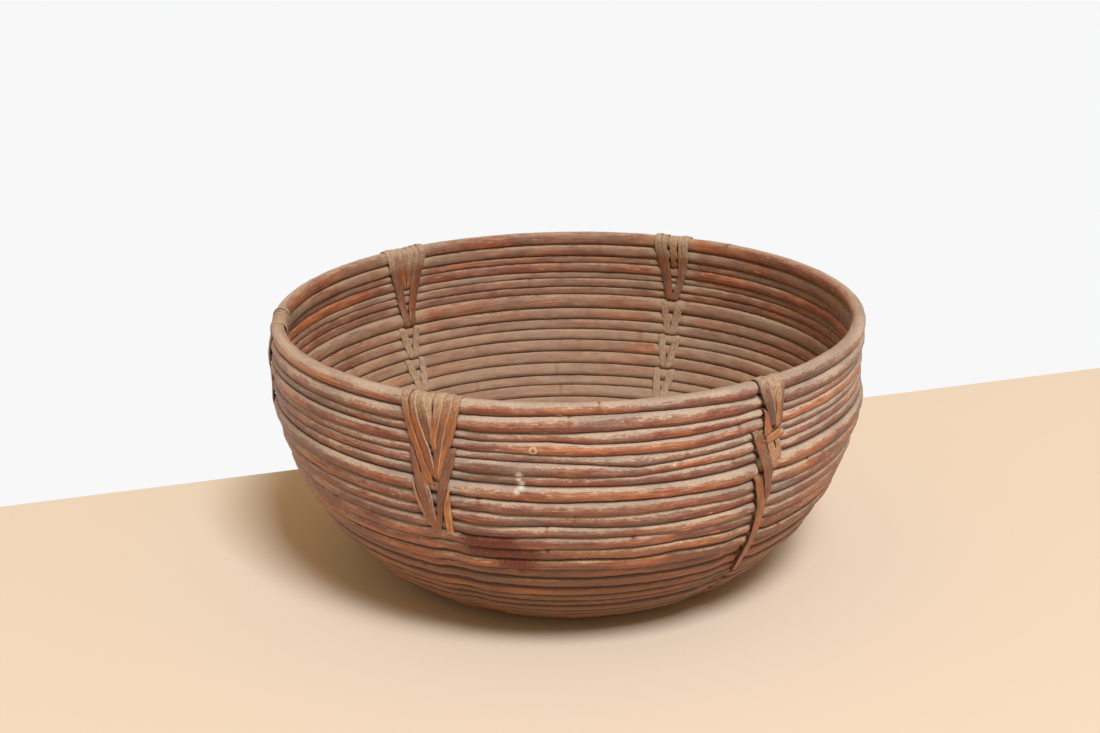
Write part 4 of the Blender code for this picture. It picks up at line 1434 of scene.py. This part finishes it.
    def marked(self, paint: Painter, wall: Wall, grain: Any) -> Any:
        """Give where the chalky marks lie: near the rim of a ring, or inside a spot, with a grainy edge.

        Args:
            paint: the material's nodes.
            wall: the wall that the marks lie on.
            grain: noise that eats into the edges.

        Returns:
            Socket from 0 to 1.
        """
        here = add_node(paint.tree, "ShaderNodeTexCoord").outputs["Object"]
        result: Any = 0.0
        for degrees, arc, radius, band in self.marks:
            spot = tuple(wall.place(arc, self.mark_rise, math.radians(degrees)) * MM)
            away = add_node(paint.tree, "ShaderNodeVectorMath", {0: here, 1: spot},
                            operation="DISTANCE").outputs["Value"]
            if band:
                away = paint.sum_of("ABSOLUTE", paint.sum_of("SUBTRACT", away, radius * MM))
            reach = (band or radius) * MM
            result = paint.larger(result, paint.step(paint.total((away, 1.0), (grain, 1.6 * reach)), 1.1 * reach,
                                                     1.9 * reach, 0.55 if band else 0.85, 0.0))
        return result


@dataclass(frozen=True)
class SplitCane:
    """Split rattan: flat strips of the inner cane, fibrous along their length, pale where an edge is rubbed."""

    name: str = "split_rattan_binding"
    straw: str = "#CF9A62"
    orange: str = "#B4713F"
    brown: str = "#955A3A"
    dark: str = "#70402D"
    deep: str = "#48281C"
    edge: str = "#CEB496"
    grey: str = "#82685E"
    dust: str = "#C3AB90"
    # dark brown of dirt and painted shade along a strip's edges
    dirt: str = "#2C180E"
    fibre: str = "#D6B088"

    def material(self) -> Any:
        """Build the node tree: fibres 0.7 mm wide over browns from straw to nearly black, with pale edges, and dirt
        with painted shade along the edges.

        Returns:
            The material.
        """
        paint = Painter(self.name)
        read, noise, total, step, mix = paint.read, paint.noise, paint.total, paint.step, paint.mix
        upward, flat, cut, rub, inside = map(read, ("upward", "groove", "cut_end", "stain", "inside"))
        brown, dusty, grey = paint.parts("tint")
        fibre = noise((95, 1250, 500), 5.0, 0.7)
        blotch = noise((90, 300, 300), 4.0, 0.65, 3.0)
        grain = noise((600, 900, 900), 2.0, 0.6, 5.0)
        tone = total((fibre, 0.75), (blotch, 0.55), (brown, 0.36))
        colour = paint.ramp(tone, (0.55, self.straw), (0.67, self.orange), (0.80, self.brown), (0.93, self.dark),
                            (1.0, self.deep))
        weathered = paint.product(grey, step(total((fibre, 0.4), (blotch, 1.0)), 0.5, 0.95, 0.1, 0.75))
        colour = mix(weathered, colour, linear(self.grey))
        # Dust: thick and grainy over the rim, thin below
        dusting = total((upward, 0.45), (blotch, 1.3), (grain, 0.7), (fibre, 0.3), (dusty, 1.1), (inside, 0.1))
        dusted = step(dusting, 1.7, 2.8, 0.03, 0.9)
        dust = mix(1.0, linear(self.dust), step(grain, 0.32, 0.68, 0.74, 1.16), "MULTIPLY")
        colour = mix(dusted, colour, dust)
        # Dirt and painted shade where an edge meets the canes, and one edge rubbed pale
        side = paint.product(flat, flat)
        edge_dirt_and_shade = paint.product(step(side, 0.8, 1.0, 0.0, 0.85), total((inside, -0.45), (1.0, 1.0)))
        colour = mix(edge_dirt_and_shade, colour, linear(self.dirt))
        rubbed = step(total((paint.product(flat, rub), 1.0), (fibre, 0.2)), 0.91, 0.98, 0.0, 0.85)
        colour = mix(rubbed, colour, linear(self.edge))
        colour = mix(cut, colour, linear(self.fibre))
        return paint.finish(colour, step(dusted, 0.0, 1.0, 0.46, 0.85), total((fibre, 1.0), (grain, 0.3)), 0.9,
                            0.0006)


# Stage


@dataclass
class Studio:
    """A pale board in front of white, soft light from above and the right, and the camera."""

    board: str = "#F8EBDA"
    beyond: str = "#F2F2F2"
    backdrop: str = "#F8F8F9"
    board_edge: tuple[tuple[float, float], tuple[float, float]] = ((-380.0, 81.0), (430.0, 329.0))
    camera_place: tuple[float, float, float] = (-0.01106, -1.00478, 0.46498)
    camera_drop: float = 18.901
    camera_roll: float = -0.882
    lens: float = 57.6
    sky: float = 0.40
    sky_tone: str = "#FFD7A4"        # the room throws warm light back
    key_power: float = 314.0
    key_place: tuple[float, float, float] = (1.35, -3.70, 5.20)
    key_size: float = 1.8
    key_aim: tuple[float, float, float] = (0.0, 0.0, 0.08)
    floor_half: float = 4.0

    def build(self) -> None:
        """Make the floor, the world, the lamp and the camera."""
        self.floor()
        self.world()
        self.lamp()
        self.camera()
        bpy.context.scene.view_settings.view_transform = "Standard"

    @staticmethod
    def seen(tree: Any, *rays: str) -> Any:
        """Give 1 where the surface is seen by the camera, by a reflection or by one of these rays.

        Args:
            tree: node tree that gets the nodes.
            rays: names of more outputs of the Light Path.

        Returns:
            The last node.
        """
        path = add_node(tree, "ShaderNodeLightPath").outputs
        result: Any = path["Is Camera Ray"]
        for ray in ("Is Glossy Ray", *rays):
            result = add_node(tree, "ShaderNodeMath", {0: result, 1: path[ray]}, operation="MAXIMUM")
        return result

    def floor(self) -> None:
        """Lay one large floor that is board in front of a line and white beyond it."""
        mesh = bpy.data.meshes.new("floor")
        corners = [(-1, -1), (1, -1), (1, 1), (-1, 1)]
        mesh.from_pydata([(x * self.floor_half, y * self.floor_half, 0) for x, y in corners], [], [(0, 1, 2, 3)])
        material = bpy.data.materials.new("pale_board")
        tree = new_tree(material)
        (left, left_back), (right, right_back) = self.board_edge
        slope = (right_back - left_back) / (right - left)
        place = add_node(tree, "ShaderNodeSeparateXYZ", {
            0: add_node(tree, "ShaderNodeTexCoord").outputs["Object"]})
        line = add_node(tree, "ShaderNodeMath", {0: place.outputs[0], 1: slope, 2: (left_back - slope * left) * MM},
                        operation="MULTIPLY_ADD")
        beyond = add_node(tree, "ShaderNodeMath", {0: place.outputs[1], 1: line}, operation="GREATER_THAN")
        board, plain = (add_node(tree, "ShaderNodeBsdfDiffuse", {"Color": linear(code)})
                        for code in (self.board, self.beyond))
        white = add_node(tree, "ShaderNodeEmission", {"Color": linear(self.backdrop), "Strength": 1.0})
        far = add_node(tree, "ShaderNodeMixShader", {0: self.seen(tree), 1: plain, 2: white})
        both = add_node(tree, "ShaderNodeMixShader", {0: beyond, 1: board, 2: far})
        add_node(tree, "ShaderNodeOutputMaterial", {"Surface": both})
        mesh.materials.append(material)
        item = put("floor", mesh)
        LOG.info("floor: 1 face, stage")

    def world(self) -> None:
        """Light the scene softly from all round, and show white to the camera."""
        world = bpy.data.worlds.new("white_room")
        tree = new_tree(world)
        light = add_node(tree, "ShaderNodeBackground", {"Color": linear(self.sky_tone), "Strength": self.sky})
        white = add_node(tree, "ShaderNodeBackground", {"Color": linear(self.backdrop), "Strength": 1.0})
        mixed = add_node(tree, "ShaderNodeMixShader", {0: self.seen(tree, "Is Transmission Ray"), 1: light, 2: white})
        add_node(tree, "ShaderNodeOutputWorld", {"Surface": mixed})
        bpy.context.scene.world = world

    def lamp(self) -> None:
        """Hang one square lamp that looks at the basket."""
        data = bpy.data.lights.new("key_light", "AREA")
        data.size, data.energy = self.key_size, self.key_power
        aim = (Vector(self.key_aim) - Vector(self.key_place)).to_track_quat("-Z", "Y")
        put("key_light", data, Matrix.Translation(self.key_place) @ aim.to_matrix().to_4x4())

    def camera(self) -> None:
        """Set up the camera: it looks along +Y, dropped by its elevation and rolled about its view."""
        drop, roll = math.radians(self.camera_drop), math.radians(self.camera_roll)
        ahead = Vector((0, math.cos(drop), -math.sin(drop)))
        right, up = Vector((1, 0, 0)), Vector((0, math.sin(drop), math.cos(drop)))
        side = right * math.cos(roll) + up * math.sin(roll)
        over = up * math.cos(roll) - right * math.sin(roll)
        turn = Matrix((side, over, -ahead)).transposed().to_4x4()
        data = bpy.data.cameras.new("camera")
        data.lens, data.sensor_width = self.lens, 36.0
        bpy.context.scene.camera = put("camera", data, Matrix.Translation(self.camera_place) @ turn)


def main() -> None:
    """Build the basket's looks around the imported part."""
    logging.basicConfig(level=logging.INFO, format="%(message)s")
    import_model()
    wall = Wall()
    Hoops(wall).build(RattanBark().material(wall))
    BaseCoil(wall).build(RattanBark(name="rattan_bark_base", grey="#98826F", plum="#8F6A57", red="#9A6549",
                                    russet="#A87250", dust_level=1.1, marks=()).material(wall))
    Binder(wall).build(SplitCane().material())
    Studio().build()


if __name__ == "__main__":
    main()
